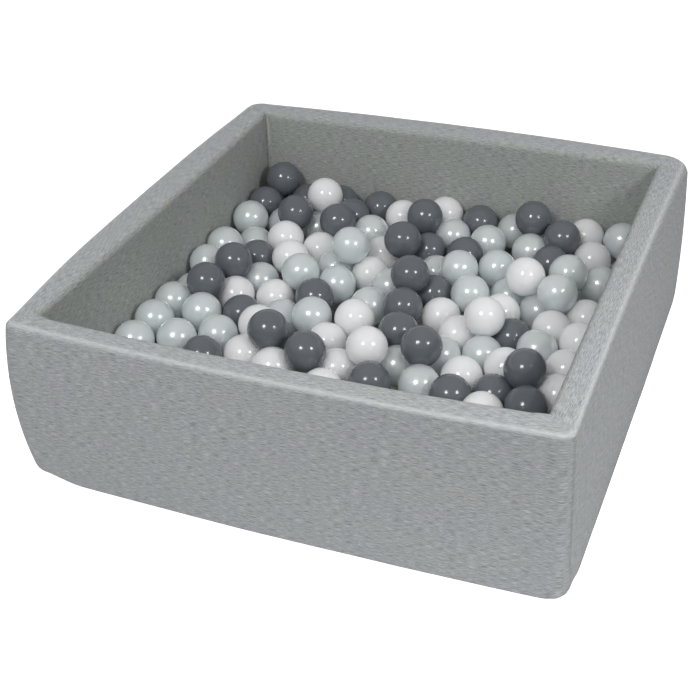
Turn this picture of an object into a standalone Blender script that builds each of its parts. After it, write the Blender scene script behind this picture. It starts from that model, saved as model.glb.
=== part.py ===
"""Square foam ball pit with a knitted cover and loose balls.

Blender 4.5, metres, +Z up. The pit stands on z = 0, centred on the Z axis, with its front
toward -Y. Four foam walls stand round a foam floor pad. Sewn cover panels go over them, and a
zip in the underside opens the cover. The balls lie as the photograph shows them.
"""
import math

import bmesh
import bpy
from mathutils import Matrix, Vector

# Driving dimensions of the pit
SIDE = 0.900
HEIGHT = 0.300
WALL = 0.050
FLOOR_TOP = 0.050
BOW = 0.006
CORNER_RADIUS = 0.035
TOP_OUTER_RADIUS = 0.016
TOP_INNER_RADIUS = 0.009
BOTTOM_RADIUS = 0.020
HEM = 0.008
FABRIC = 0.0015
GAP = 0.0003
SEAM_GAP = 0.0006

# Driving dimensions of the balls
BALL_DIAMETER = 0.070
BALL_SPACE = 0.001
SOCKET_CLEARANCE = 0.0004
SEAT_DEPTH = 0.004

# Driving dimensions of the zip in the underside
ZIP_MARGIN = 0.080
ZIP_INSET = 0.100
SLOT_HALF_WIDTH = 0.008
GROOVE_HALF_WIDTH = 0.018
GROOVE_TOP = 0.0095
END_ROOM = 0.012
TAPE_WIDTH = 0.016
TAPE_THICK = 0.0008
TAPE_HEIGHT = 0.0046
TEETH_INNER = 0.0006
TEETH_WIDTH = 0.002
TEETH_THICK = 0.002
SLIDER_LENGTH = 0.012
SLIDER_HALF_WIDTH = 0.004
PLATE_THICK = 0.0009
WEB_THICK = 0.0006
LUG_LENGTH = 0.0032
LUG_THICK = 0.0016
LUG_DROP = 0.0020
PIN_RADIUS = 0.0005
PIN_CLEARANCE = 0.0003
PULL_LENGTH = 0.018
PULL_WIDTH = 0.006
PULL_THICK = 0.0008
ARM_WIDTH = 0.0010
STOP_LENGTH = 0.003
STOP_THICK = 0.001

# One overrun for all cuts
OVERRUN = 0.002

# Numbers of facets
FACE_STEPS = 6
CORNER_STEPS = 3
FILLET_STEPS = 3
PIN_SIDES = 10
SPHERE_STEPS = 2

# Where the photograph was taken from, with the pit at the origin. The place is in shares of SIDE.
EYE_SHARES = (0.810, -1.9956, 1.5122)
EYE_FOCAL_PIXELS = 1303.0
EYE_CENTRE_PIXELS = (381.1, 290.6)
EYE_AZIMUTH = math.radians(21.99)
EYE_ELEVATION = math.radians(31.29)
EYE_ROLL = math.radians(-2.48)

# Heights of the ball centres above the lower layer of balls, as shares of the ball radius
TIER_SHARES = {"deep": 0.29, "nested": 0.29, "surface": 0.66, "top": 1.49}
LOOSE_TIERS = ("nested", "top")
LOWEST_SHARE = 0.11
SLAB_SHARE = -0.14
JOINED_HIGHEST_SHARE = 0.80
LOOSE_HIGHEST_SHARE = 2.70
HIDDEN_SHARE = 0.45
HIDDEN_REACH_SHARE = 0.86

# Settling of the balls
SETTLE_ROUNDS = 400
GUIDED_ROUNDS = 300
NEIGHBOUR_ROUNDS = 20
RAY_PULL_SHARE = 0.15
TIER_PULL_SHARE = 0.03
SETTLED_SHARE = 0.001

# Centres of the balls in the photograph, in its pixels, by colour and height
SEEN_PIXELS = {
    ("dark", "top"): [
        (284, 179), (293, 212), (338, 218), (425, 213), (402, 236), (533, 216), (562, 234),
        (234, 262), (409, 272), (201, 281), (398, 322), (266, 331), (422, 345), (304, 347),
        (526, 368),
    ],
    ("dark", "surface"): [
        (262, 201), (379, 207), (479, 223), (408, 304), (493, 393), (524, 406),
    ],
    ("dark", "deep"): [
        (306, 198), (341, 200), (358, 212), (431, 250), (550, 263), (260, 256), (435, 292),
        (312, 297), (240, 313), (511, 337), (369, 379), (452, 394),
    ],
    ("dark", "nested"): [(465, 254), (205, 354)],
    ("white", "top"): [
        (325, 192), (527, 277), (354, 310), (484, 317), (367, 346),
    ],
    ("white", "surface"): [
        (280, 233), (310, 249), (369, 276), (238, 294), (584, 319), (551, 330), (576, 343),
        (243, 351), (464, 378),
    ],
    ("white", "deep"): [
        (402, 215), (448, 212), (593, 235), (383, 253), (592, 260), (286, 258), (275, 299),
        (507, 315), (256, 320), (440, 318), (326, 341), (458, 335), (563, 369), (272, 362),
        (337, 367), (498, 369), (555, 392), (483, 404),
    ],
    ("pearl", "top"): [
        (350, 242), (458, 269), (497, 266), (569, 269), (298, 272), (558, 294),
    ],
    ("pearl", "surface"): [
        (616, 237), (244, 225), (231, 243), (452, 236), (487, 244), (531, 252), (207, 258),
        (599, 286), (335, 285), (466, 295), (175, 297), (153, 318), (206, 311), (307, 313),
        (180, 338), (220, 334), (482, 355), (421, 384),
    ],
    ("pearl", "deep"): [
        (514, 230), (271, 217), (257, 235), (316, 226), (370, 231), (336, 266), (437, 273),
        (264, 279), (389, 285), (508, 298), (370, 306), (533, 313), (284, 315), (134, 336),
        (540, 349), (444, 355), (396, 366),
    ],
}

# Finishes: colour as sRGB shares, roughness, metallic
FINISHES = {
    "jersey": ((0.60, 0.61, 0.61), 0.95, 0.0),
    "foam": ((0.86, 0.86, 0.84), 0.90, 0.0),
    "zip_tape": ((0.56, 0.57, 0.58), 0.85, 0.0),
    "zip_metal": ((0.62, 0.62, 0.63), 0.35, 1.0),
    "dark": ((0.30, 0.31, 0.32), 0.25, 0.0),
    "white": ((0.92, 0.92, 0.93), 0.25, 0.0),
    "pearl": ((0.85, 0.86, 0.84), 0.30, 0.0),
}


def clear_scene():
    """Remove every object, so that the script can be run again in one session."""
    for old in list(bpy.data.objects):
        bpy.data.objects.remove(old, do_unlink=True)


def new_collection(name):
    """Return a new collection that is linked to the scene."""
    made = bpy.data.collections.new(name)
    bpy.context.scene.collection.children.link(made)
    return made


def linear(channel):
    """Turn one sRGB channel into the linear value that a shader takes."""
    if channel <= 0.04045:
        return channel / 12.92
    return ((channel + 0.055) / 1.055) ** 2.4


def new_material(name):
    """Return a Principled material of one of the finishes."""
    colour, roughness, metallic = FINISHES[name]
    made = bpy.data.materials.new(name)
    made.use_nodes = True
    shader = made.node_tree.nodes["Principled BSDF"]
    shader.inputs["Base Color"].default_value = (*(linear(c) for c in colour), 1.0)
    shader.inputs["Roughness"].default_value = roughness
    shader.inputs["Metallic"].default_value = metallic
    return made


def add_object(name, mesh, finish, collection):
    """Link a mesh as an object, with its own material if it has none yet."""
    made = bpy.data.objects.new(name, mesh)
    if finish and not mesh.materials:
        mesh.materials.append(new_material(finish))
    collection.objects.link(made)
    return made


def mesh_from(bm, name):
    """Turn an edit mesh into a mesh with its faces pointing out."""
    bmesh.ops.recalc_face_normals(bm, faces=bm.faces)
    mesh = bpy.data.meshes.new(name)
    bm.to_mesh(mesh)
    bm.free()
    return mesh


def box_mesh(name, low, high):
    """Return the mesh of a box between two corners."""
    low, high = Vector(low), Vector(high)
    bm = bmesh.new()
    size = high - low
    bmesh.ops.create_cube(bm, size=1.0)
    bmesh.ops.transform(bm, matrix=Matrix.Diagonal((*size, 1.0)), verts=bm.verts)
    bmesh.ops.translate(bm, vec=(low + high) / 2, verts=bm.verts)
    return mesh_from(bm, name)


def hide_helper(helper):
    """Mark a cutter or a joined piece, which is no part of the product."""
    helper.hide_render = True
    helper.display_type = "WIRE"


def combine(target, helper, operation):
    """Join a helper to the target, or cut it out."""
    hide_helper(helper)
    step = target.modifiers.new(helper.name, "BOOLEAN")
    step.operation = operation
    step.solver = "EXACT"
    step.object = helper


def spread(low, high, steps):
    """Return steps + 1 evenly spread values from low to high."""
    return [low + (high - low) * i / steps for i in range(steps + 1)]


def arc(centre, radius, start, end, steps):
    """Return points along an arc, with its angles in degrees."""
    return [
        (centre[0] + radius * math.cos(math.radians(a)), centre[1] + radius * math.sin(math.radians(a)))
        for a in spread(start, end, steps)
    ]


def wall_stations():
    """Return pairs of outer and inner plan points along the front wall, from mitre to mitre.

    The outer face bows outward along its straight run and turns the first half of each round
    corner. The inner face is straight. The ends stop short of the mitre planes by the seam gap.
    """
    half = SIDE / 2
    inner = half - WALL
    run = half - CORNER_RADIUS
    corner = arc((run, -run), CORNER_RADIUS, 270, 315, CORNER_STEPS)[1:]
    straight = [(share * run, -half - BOW * (1 - share * share)) for share in spread(-1, 1, FACE_STEPS)]
    outer = [(-x, y) for x, y in reversed(corner)] + straight + corner
    reach = outer[-1][0]
    stations = [(Vector((x, y, 0)), Vector((x * inner / reach, -inner, 0))) for x, y in outer]
    for end, turn in ((0, 1), (-1, -1)):
        for point in stations[end]:
            point.x += turn * SEAM_GAP
    return stations


def wall_profile(thickness, inset, low, tail):
    """Return the wall's cross-section as pairs of depth from the outer face and height.

    It runs from the bottom up the outer face, over the rim and down the inner face. The inset
    is the distance inside the cover's outer surface.
    """
    bottom = arc((BOTTOM_RADIUS, BOTTOM_RADIUS), BOTTOM_RADIUS - inset, 270, 180, FILLET_STEPS)
    top_outer_centre = (TOP_OUTER_RADIUS, HEIGHT - TOP_OUTER_RADIUS)
    top_outer = arc(top_outer_centre, TOP_OUTER_RADIUS - inset, 180, 90, FILLET_STEPS)
    top_inner_centre = (thickness - TOP_INNER_RADIUS, HEIGHT - TOP_INNER_RADIUS)
    top_inner = arc(top_inner_centre, TOP_INNER_RADIUS - inset, 90, 0, FILLET_STEPS)
    start = (BOTTOM_RADIUS + tail, inset)
    return [start] + bottom + top_outer + top_inner + [(thickness - inset, low)]


def wall_sections(inset, low, tail):
    """Return the wall's cross-sections in space, one for each station."""
    sections = []
    for outer, inner in wall_stations():
        thickness = inner.y - outer.y
        profile = wall_profile(thickness, inset, low, tail)
        sections.append([outer.lerp(inner, depth / thickness) + Vector((0, 0, z)) for depth, z in profile])
    return sections


def loft(name, sections, closed):
    """Return a mesh through unlike sections, closed round and capped, or open."""
    bm = bmesh.new()
    rows = [[bm.verts.new(point) for point in section] for section in sections]
    count = len(rows[0])
    for first, second in zip(rows, rows[1:]):
        for i in range(count if closed else count - 1):
            j = (i + 1) % count
            bm.faces.new((first[i], second[i], second[j], first[j]))
    if closed:
        bm.faces.new(rows[0])
        bm.faces.new(rows[-1])
        return mesh_from(bm, name)
    mesh = bpy.data.meshes.new(name)
    bm.to_mesh(mesh)
    bm.free()
    return mesh


def add_walls(parts):
    """Make the four foam boards and the four cover panels that go over them."""
    inset = FABRIC + GAP
    foam = loft("foam_wall", wall_sections(inset, inset, HEM), closed=True)
    panel = loft("cover_panel", wall_sections(0, FLOOR_TOP + GAP, HEM), closed=False)
    for turn, side in enumerate(("front", "right", "back", "left")):
        board = add_object(f"foam_wall_{side}", foam, "foam", parts)
        cover = add_object(f"cover_{side}", panel, "jersey", parts)
        for piece in (board, cover):
            piece.rotation_euler.z = turn * math.pi / 2
        shell = cover.modifiers.new("cloth", "SOLIDIFY")
        shell.thickness = FABRIC
        shell.offset = -1
        shell.use_even_offset = True


def add_floor(parts, cutters):
    """Make the floor pad with the recess for the zip, and the sheet on top of it."""
    half = SIDE / 2 - WALL + FABRIC
    pad_low = (-half, -half, FABRIC + GAP)
    pad_high = (half, half, FLOOR_TOP - FABRIC - GAP)
    pad = add_object("foam_floor", box_mesh("foam_floor", pad_low, pad_high), "foam", parts)
    groove_half_length = zip_length() / 2 + END_ROOM + OVERRUN
    groove = box_mesh(
        "zip_groove",
        (-groove_half_length, zip_place() - GROOVE_HALF_WIDTH, -OVERRUN),
        (groove_half_length, zip_place() + GROOVE_HALF_WIDTH, GROOVE_TOP),
    )
    combine(pad, add_object("zip_groove", groove, None, cutters), "DIFFERENCE")
    sheet = box_mesh("cover_floor", (-half, -half, FLOOR_TOP - FABRIC), (half, half, FLOOR_TOP))
    add_object("cover_floor", sheet, "jersey", parts)


def base_outline():
    """Return the outline of the underside sheet, a seam gap inside the turned-under panels."""
    depth = BOTTOM_RADIUS + HEM + SEAM_GAP
    side = []
    for outer, inner in wall_stations():
        side.append(outer.lerp(inner, depth / (inner.y - outer.y)))
    corner = side[-1]
    corner.x = -corner.y
    points = []
    for turn in range(4):
        turned = Matrix.Rotation(turn * math.pi / 2, 3, "Z")
        points += [turned @ point for point in side[1:]]
    return points


def add_base(parts, cutters):
    """Make the underside sheet with its slot for the zip."""
    bm = bmesh.new()
    face = bm.faces.new([bm.verts.new(point) for point in base_outline()])
    grown = bmesh.ops.extrude_face_region(bm, geom=[face])
    top = [item for item in grown["geom"] if isinstance(item, bmesh.types.BMVert)]
    bmesh.ops.translate(bm, vec=(0, 0, FABRIC), verts=top)
    sheet = add_object("cover_base", mesh_from(bm, "cover_base"), "jersey", parts)
    slot_half_length = zip_length() / 2 + END_ROOM - OVERRUN
    slot = box_mesh(
        "zip_slot",
        (-slot_half_length, zip_place() - SLOT_HALF_WIDTH, -OVERRUN),
        (slot_half_length, zip_place() + SLOT_HALF_WIDTH, FABRIC + OVERRUN),
    )
    combine(sheet, add_object("zip_slot", slot, None, cutters), "DIFFERENCE")


def tape_outline():
    """Return one zip tape's cross-section: width from the zip's middle line, and height."""
    teeth_outer = TEETH_INNER + TEETH_WIDTH
    teeth_low = TAPE_HEIGHT + TAPE_THICK / 2 - TEETH_THICK / 2
    teeth_high = teeth_low + TEETH_THICK
    flange_low = FABRIC + GAP
    flange_high = flange_low + TAPE_THICK
    riser = SLOT_HALF_WIDTH + GAP
    tape_top = TAPE_HEIGHT + TAPE_THICK
    return [
        (TEETH_INNER, teeth_low),
        (teeth_outer, teeth_low),
        (teeth_outer, TAPE_HEIGHT),
        (riser, TAPE_HEIGHT),
        (riser, flange_low),
        (TAPE_WIDTH, flange_low),
        (TAPE_WIDTH, flange_high),
        (riser + TAPE_THICK, flange_high),
        (riser + TAPE_THICK, tape_top),
        (teeth_outer, tape_top),
        (teeth_outer, teeth_high),
        (TEETH_INNER, teeth_high),
    ]


def add_zip_tapes(parts):
    """Make the two tapes, each with its row of teeth, as outlines extruded along X."""
    for side, way in (("front", -1), ("back", 1)):
        flat = bpy.data.curves.new(f"zip_tape_{side}", "CURVE")
        flat.dimensions = "2D"
        flat.fill_mode = "BOTH"
        flat.extrude = zip_length() / 2 + END_ROOM
        line = flat.splines.new("POLY")
        outline = tape_outline()
        line.points.add(len(outline) - 1)
        for point, (across, z) in zip(line.points, outline):
            point.co = (zip_place() + way * across, z, 0, 1)
        line.use_cyclic_u = True
        tape = bpy.data.objects.new(f"zip_tape_{side}", flat)
        flat.materials.append(new_material("zip_tape"))
        tape.rotation_euler = (math.pi / 2, 0, math.pi / 2)
        parts.objects.link(tape)


def zip_length():
    """Return the length of the row of teeth, which stops short of the walls."""
    return SIDE - 2 * WALL - 2 * ZIP_MARGIN


def zip_place():
    """Return the Y of the zip's middle line."""
    return SIDE / 2 - ZIP_INSET


def eye_place():
    """Return the photograph's viewpoint."""
    return [share * SIDE for share in EYE_SHARES]


def teeth_heights():
    """Return the lowest and highest points of the zip's teeth."""
    middle = TAPE_HEIGHT + TAPE_THICK / 2
    return middle - TEETH_THICK / 2, middle + TEETH_THICK / 2


def slider_rest():
    """Return the X of the slider's middle when the zip is closed."""
    return zip_length() / 2 - STOP_LENGTH - GAP - SLIDER_LENGTH / 2


def pin_height():
    """Return the height of the pull's pin, in the lug under the slider."""
    low, _ = teeth_heights()
    return low - GAP - PLATE_THICK - LUG_DROP / 2


def add_stops(parts):
    """Make the two metal stops that lie over the ends of the teeth."""
    _, high = teeth_heights()
    reach = TEETH_INNER + TEETH_WIDTH
    for side, way in (("left", -1), ("right", 1)):
        ends = sorted((way * zip_length() / 2, way * (zip_length() / 2 - STOP_LENGTH)))
        low_corner = (ends[0], zip_place() - reach, high + GAP)
        high_corner = (ends[1], zip_place() + reach, high + GAP + STOP_THICK)
        stop = box_mesh(f"zip_stop_{side}", low_corner, high_corner)
        add_object(f"zip_stop_{side}", stop, "zip_metal", parts)


def add_slider(parts, cutters):
    """Make the slider: two plates, the web between the rows of teeth, and the pull's lug."""
    low, high = teeth_heights()
    lower_top = low - GAP
    upper_low = high + GAP
    middle = slider_rest()
    half = SLIDER_LENGTH / 2
    plate_low = (middle - half, zip_place() - SLIDER_HALF_WIDTH, lower_top - PLATE_THICK)
    plate_high = (middle + half, zip_place() + SLIDER_HALF_WIDTH, lower_top)
    slider = add_object("zip_slider", box_mesh("zip_slider", plate_low, plate_high), "zip_metal", parts)
    blocks = {
        "slider_upper_plate": (
            (middle - half, zip_place() - SLIDER_HALF_WIDTH, upper_low),
            (middle + half, zip_place() + SLIDER_HALF_WIDTH, upper_low + PLATE_THICK),
        ),
        "slider_web": (
            (middle - half / 2, zip_place() - WEB_THICK / 2, lower_top - PLATE_THICK / 2),
            (middle + half / 2, zip_place() + WEB_THICK / 2, upper_low + PLATE_THICK / 2),
        ),
        "slider_lug": (
            (middle - LUG_LENGTH / 2, zip_place() - LUG_THICK / 2, lower_top - PLATE_THICK - LUG_DROP),
            (middle + LUG_LENGTH / 2, zip_place() + LUG_THICK / 2, lower_top - PLATE_THICK / 2),
        ),
    }
    for name in ("slider_web", "slider_upper_plate", "slider_lug"):
        combine(slider, add_object(name, box_mesh(name, *blocks[name]), None, cutters), "UNION")
    hole = pin_mesh("lug_hole", PIN_RADIUS + PIN_CLEARANCE, LUG_THICK + OVERRUN)
    combine(slider, add_object("lug_hole", hole, None, cutters), "DIFFERENCE")


def pin_mesh(name, radius, length):
    """Return a round bar across the zip, centred on the pull's hinge line."""
    bm = bmesh.new()
    bmesh.ops.create_cone(
        bm, cap_ends=True, segments=PIN_SIDES, radius1=radius, radius2=radius, depth=length
    )
    bmesh.ops.rotate(bm, matrix=Matrix.Rotation(math.pi / 2, 3, "X"), verts=bm.verts)
    bmesh.ops.translate(bm, vec=(slider_rest(), zip_place(), pin_height()), verts=bm.verts)
    return mesh_from(bm, name)


def add_pull(parts, cutters):
    """Make the pull: a pin through the lug, two arms and a tab that lies along the zip."""
    x, z = slider_rest(), pin_height()
    arm_inner = LUG_THICK / 2 + PIN_CLEARANCE
    arm_outer = arm_inner + ARM_WIDTH
    half_thick = PULL_THICK / 2
    tab_start = x - LUG_LENGTH / 2 - PIN_CLEARANCE - OVERRUN / 2
    pin = pin_mesh("zip_pull", PIN_RADIUS, 2 * arm_inner + ARM_WIDTH)
    pull = add_object("zip_pull", pin, "zip_metal", parts)
    tab = box_mesh(
        "pull_tab",
        (x - PULL_LENGTH, zip_place() - PULL_WIDTH / 2, z - half_thick),
        (tab_start, zip_place() + PULL_WIDTH / 2, z + half_thick),
    )
    for name, way in (("pull_arm_front", -1), ("pull_arm_back", 1)):
        across = sorted((zip_place() + way * arm_inner, zip_place() + way * arm_outer))
        low_corner = (tab_start - OVERRUN / 2, across[0], z - half_thick)
        high_corner = (x + PIN_RADIUS, across[1], z + half_thick)
        arm = add_object(name, box_mesh(name, low_corner, high_corner), None, cutters)
        combine(pull, arm, "UNION")
    combine(pull, add_object("pull_tab", tab, None, cutters), "UNION")


class Ball:
    """One ball: its colour, its height tier and its centre."""

    def __init__(self, colour, tier, centre, ray):
        self.colour = colour
        self.tier = tier
        self.centre = list(centre)
        self.start_height = centre[2]
        self.ray = ray
        self.loose = tier in LOOSE_TIERS

    def highest(self):
        """Return the greatest height that the ball's centre may settle at."""
        share = LOOSE_HIGHEST_SHARE if self.tier == "top" else JOINED_HIGHEST_SHARE
        return bed_top() + share * BALL_DIAMETER / 2


def bed_top():
    """Return the height of the top of the lower layer of balls."""
    return FLOOR_TOP + BALL_DIAMETER


def slab_top():
    """Return the height up to which the space between the buried balls is filled."""
    return bed_top() + SLAB_SHARE * BALL_DIAMETER / 2


def sight_ray(pixel):
    """Return the direction from the photograph's viewpoint through a pixel, of length 1."""
    ahead = Vector((
        -math.sin(EYE_AZIMUTH) * math.cos(EYE_ELEVATION),
        math.cos(EYE_AZIMUTH) * math.cos(EYE_ELEVATION),
        -math.sin(EYE_ELEVATION),
    ))
    level_right = ahead.cross(Vector((0, 0, 1))).normalized()
    level_up = level_right.cross(ahead)
    right = level_right * math.cos(EYE_ROLL) + level_up * math.sin(EYE_ROLL)
    up = level_up * math.cos(EYE_ROLL) - level_right * math.sin(EYE_ROLL)
    across = (pixel[0] - EYE_CENTRE_PIXELS[0]) / EYE_FOCAL_PIXELS
    down = (pixel[1] - EYE_CENTRE_PIXELS[1]) / EYE_FOCAL_PIXELS
    return (ahead + right * across - up * down).normalized()


def seen_balls():
    """Return the balls that the photograph shows, each on its line of sight."""
    eye = eye_place()
    balls = []
    for (colour, tier), pixels in SEEN_PIXELS.items():
        height = bed_top() + TIER_SHARES[tier] * BALL_DIAMETER / 2
        for pixel in pixels:
            ray = sight_ray(pixel)
            reach = (height - eye[2]) / ray.z
            centre = [eye[axis] + ray[axis] * reach for axis in range(3)]
            balls.append(Ball(colour, tier, centre, tuple(ray)))
    return balls


def ball_limit():
    """Return how far a ball's centre can be from the pit's middle, along X or Y."""
    return SIDE / 2 - WALL - BALL_DIAMETER / 2 - SOCKET_CLEARANCE


def add_hidden_balls(balls):
    """Fill the places that the front and right walls hide, in staggered rows."""
    limit = ball_limit()
    pitch = BALL_DIAMETER + BALL_SPACE
    row_step = pitch * math.sqrt(3) / 2
    height = bed_top() + HIDDEN_SHARE * BALL_DIAMETER / 2
    rows = int(2 * limit / row_step) + 1
    for row in range(rows):
        start = -limit + (row % 2) * pitch / 2
        columns = int((limit - start) / pitch) + 1
        for column in range(columns):
            place = (start + column * pitch, -limit + row * row_step, height)
            reach = HIDDEN_REACH_SHARE * BALL_DIAMETER
            if all(math.dist(place[:2], ball.centre[:2]) > reach for ball in balls):
                colour = "white" if (row + column) % 2 else "pearl"
                balls.append(Ball(colour, "deep", place, None))


def near_pairs(balls, reach):
    """Return the index pairs of balls whose centres are within the reach."""
    pairs = []
    for i, first in enumerate(balls):
        for j in range(i + 1, len(balls)):
            if math.dist(first.centre, balls[j].centre) < reach:
                pairs.append((i, j))
    return pairs


def push_apart(first, second, least):
    """Move two balls apart to the least distance and return how far they had overlapped."""
    a, b = first.centre, second.centre
    apart = math.dist(a, b)
    if apart >= least:
        return 0.0
    for axis in range(3):
        move = (b[axis] - a[axis]) * 0.5 * (least - apart) / apart
        a[axis] -= move
        b[axis] += move
    return least - apart


def guide(ball, eye):
    """Draw a ball back toward its line of sight and its first height."""
    if ball.ray is None:
        return
    along = sum((ball.centre[axis] - eye[axis]) * ball.ray[axis] for axis in range(3))
    for axis in range(3):
        on_ray = eye[axis] + ball.ray[axis] * along
        ball.centre[axis] += RAY_PULL_SHARE * (on_ray - ball.centre[axis])
    ball.centre[2] += TIER_PULL_SHARE * (ball.start_height - ball.centre[2])


def keep_inside(ball):
    """Keep a ball inside the walls and its range of heights."""
    limit = ball_limit()
    lowest = bed_top() + LOWEST_SHARE * BALL_DIAMETER / 2
    ball.centre[0] = min(max(ball.centre[0], -limit), limit)
    ball.centre[1] = min(max(ball.centre[1], -limit), limit)
    ball.centre[2] = min(max(ball.centre[2], lowest), ball.highest())


def settle(balls):
    """Move the balls apart until none overlaps. Joined balls that find no room are left out."""
    least = BALL_DIAMETER + BALL_SPACE
    eye = eye_place()
    while True:
        for turn in range(SETTLE_ROUNDS):
            if turn % NEIGHBOUR_ROUNDS == 0:
                pairs = near_pairs(balls, 2 * least)
            overlaps = [0.0] * len(balls)
            for i, j in pairs:
                overlap = push_apart(balls[i], balls[j], least)
                overlaps[i] += overlap
                overlaps[j] += overlap
            if turn < GUIDED_ROUNDS:
                for ball in balls:
                    guide(ball, eye)
            for ball in balls:
                keep_inside(ball)
        if max(overlaps) < SETTLED_SHARE * BALL_DIAMETER:
            return
        crowded = [i for i, ball in enumerate(balls) if overlaps[i] and not ball.loose]
        balls.pop(max(crowded or range(len(balls)), key=overlaps.__getitem__))


def first_touch(ball, balls):
    """Return the ball that this one meets first on its way down, and its height there."""
    carrier, height = None, bed_top() + LOWEST_SHARE * BALL_DIAMETER / 2
    for other in balls:
        least = BALL_DIAMETER + BALL_SPACE if other.loose else BALL_DIAMETER - SEAT_DEPTH
        flat = math.dist(ball.centre[:2], other.centre[:2])
        if other is ball or flat >= least:
            continue
        touch = other.centre[2] + math.sqrt(least * least - flat * flat)
        if other.centre[2] < ball.centre[2] and touch > height:
            carrier, height = other, touch
    return carrier, height


def seat_top_balls(balls):
    """Let the top balls down onto the others. A ball that carries one is joined to the bed."""
    for ball in sorted((b for b in balls if b.tier == "top"), key=lambda b: b.centre[2]):
        carrier, height = first_touch(ball, balls)
        while carrier and carrier.loose and carrier.tier != "top":
            carrier.loose = False
            carrier, height = first_touch(ball, balls)
        ball.centre[2] = height


def ball_mesh(name, radius, centres):
    """Return one mesh of equal balls round the given centres."""
    bm = bmesh.new()
    for centre in centres:
        place = Matrix.Translation(centre)
        bmesh.ops.create_icosphere(bm, subdivisions=SPHERE_STEPS, radius=radius, matrix=place)
    mesh = bpy.data.meshes.new(name)
    bm.to_mesh(mesh)
    bm.free()
    return mesh


def add_balls(parts, cutters):
    """Make the bed of balls and the loose balls, each in its socket or on its seat."""
    balls = seen_balls()
    add_hidden_balls(balls)
    settle(balls)
    seat_top_balls(balls)
    radius = BALL_DIAMETER / 2
    joined = [ball.centre for ball in balls if not ball.loose]
    loose = [ball for ball in balls if ball.loose]

    half = SIDE / 2 - WALL - SOCKET_CLEARANCE
    slab = box_mesh("ball_bed", (-half, -half, FLOOR_TOP + GAP), (half, half, slab_top()))
    bed = add_object("ball_bed", slab, "pearl", parts)
    domes = add_object("bed_domes", ball_mesh("bed_domes", radius, joined), None, cutters)
    combine(bed, domes, "UNION")
    holes = ball_mesh("ball_sockets", radius + SOCKET_CLEARANCE, [ball.centre for ball in loose])
    combine(bed, add_object("ball_sockets", holes, None, cutters), "DIFFERENCE")

    meshes = {colour: ball_mesh(f"{colour}_ball", radius, [(0, 0, 0)]) for colour in ("dark", "white", "pearl")}
    counts = dict.fromkeys(meshes, 0)
    for ball in loose:
        counts[ball.colour] += 1
        name = f"{ball.colour}_ball_{counts[ball.colour]:02d}"
        made = add_object(name, meshes[ball.colour], ball.colour, parts)
        made.location = ball.centre


def main():
    """Build the ball pit."""
    clear_scene()
    parts = new_collection("ball_pit")
    cutters = new_collection("cutters")
    add_walls(parts)
    add_floor(parts, cutters)
    add_base(parts, cutters)
    add_zip_tapes(parts)
    add_stops(parts)
    add_slider(parts, cutters)
    add_pull(parts, cutters)
    add_balls(parts, cutters)


main()
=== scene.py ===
"""Looks for the square foam ball pit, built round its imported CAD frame.

Blender 4.5, metres, +Z up, front wall toward -Y. The jersey cover, the foam inside it, the zip
in the underside and the balls are pieces of their own, and each rides on its CAD body.
"""

import logging
import math
import random
from collections.abc import Callable, Iterable, Sequence
from dataclasses import dataclass, field, fields
from enum import Enum
from itertools import product

import bmesh
import bpy
import numpy as np
from mathutils import Matrix, Vector, noise

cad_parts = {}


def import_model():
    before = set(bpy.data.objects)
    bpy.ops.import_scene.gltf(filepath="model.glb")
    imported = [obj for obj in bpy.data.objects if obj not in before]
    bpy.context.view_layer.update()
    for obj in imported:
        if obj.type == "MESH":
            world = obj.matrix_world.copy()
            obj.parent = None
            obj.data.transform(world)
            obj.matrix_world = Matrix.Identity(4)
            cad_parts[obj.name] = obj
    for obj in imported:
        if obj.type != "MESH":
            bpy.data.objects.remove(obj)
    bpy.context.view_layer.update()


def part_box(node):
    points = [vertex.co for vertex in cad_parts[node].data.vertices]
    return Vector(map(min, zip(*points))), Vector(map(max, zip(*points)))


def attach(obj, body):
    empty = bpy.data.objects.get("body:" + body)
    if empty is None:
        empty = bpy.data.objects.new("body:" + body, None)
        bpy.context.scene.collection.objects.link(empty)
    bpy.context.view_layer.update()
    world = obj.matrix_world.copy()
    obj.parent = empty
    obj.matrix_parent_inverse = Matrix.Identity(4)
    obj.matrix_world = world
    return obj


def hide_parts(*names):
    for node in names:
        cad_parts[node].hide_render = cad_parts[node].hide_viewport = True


LOG = logging.getLogger("ball_pit")
MM = 0.001
PHOTO_PIXELS = 700.0
WAVE_PERIOD = math.tau / 20
"""The period of Blender's band waves at a scale of 1."""


# Small helpers.


def linear(hex_colour: str) -> tuple[float, float, float, float]:
    """Turn an sRGB hex colour into the linear colour that a shader takes.

    Args:
        hex_colour: Six hex digits, with or without a leading #.

    Returns:
        Red, green, blue and an alpha of 1.
    """
    digits = hex_colour.lstrip("#")
    channels = (int(digits[i : i + 2], 16) / 255 for i in (0, 2, 4))
    red, green, blue = (c / 12.92 if c <= 0.04045 else ((c + 0.055) / 1.055) ** 2.4 for c in channels)
    return red, green, blue, 1.0


def add_node(
    tree: bpy.types.NodeTree, kind: str, inputs: dict | None = None, **settings: object
) -> bpy.types.Node:
    """Add a node with its settings, its input values and its links.

    Args:
        tree: The node tree that takes it.
        kind: The node's type name.
        inputs: Socket name or number to a value, or to the output socket that feeds it.
        settings: Properties of the node itself.

    Returns:
        The new node.
    """
    node = tree.nodes.new(kind)
    for name, value in settings.items():
        setattr(node, name, value)
    feed(tree, node, inputs or {})
    return node


def feed(tree: bpy.types.NodeTree, node: bpy.types.Node, inputs: dict) -> None:
    """Set a node's inputs, each to a value or to the output socket that feeds it."""
    for socket, source in inputs.items():
        if isinstance(source, bpy.types.NodeSocket):
            tree.links.new(source, node.inputs[socket])
        else:
            node.inputs[socket].default_value = source


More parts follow.
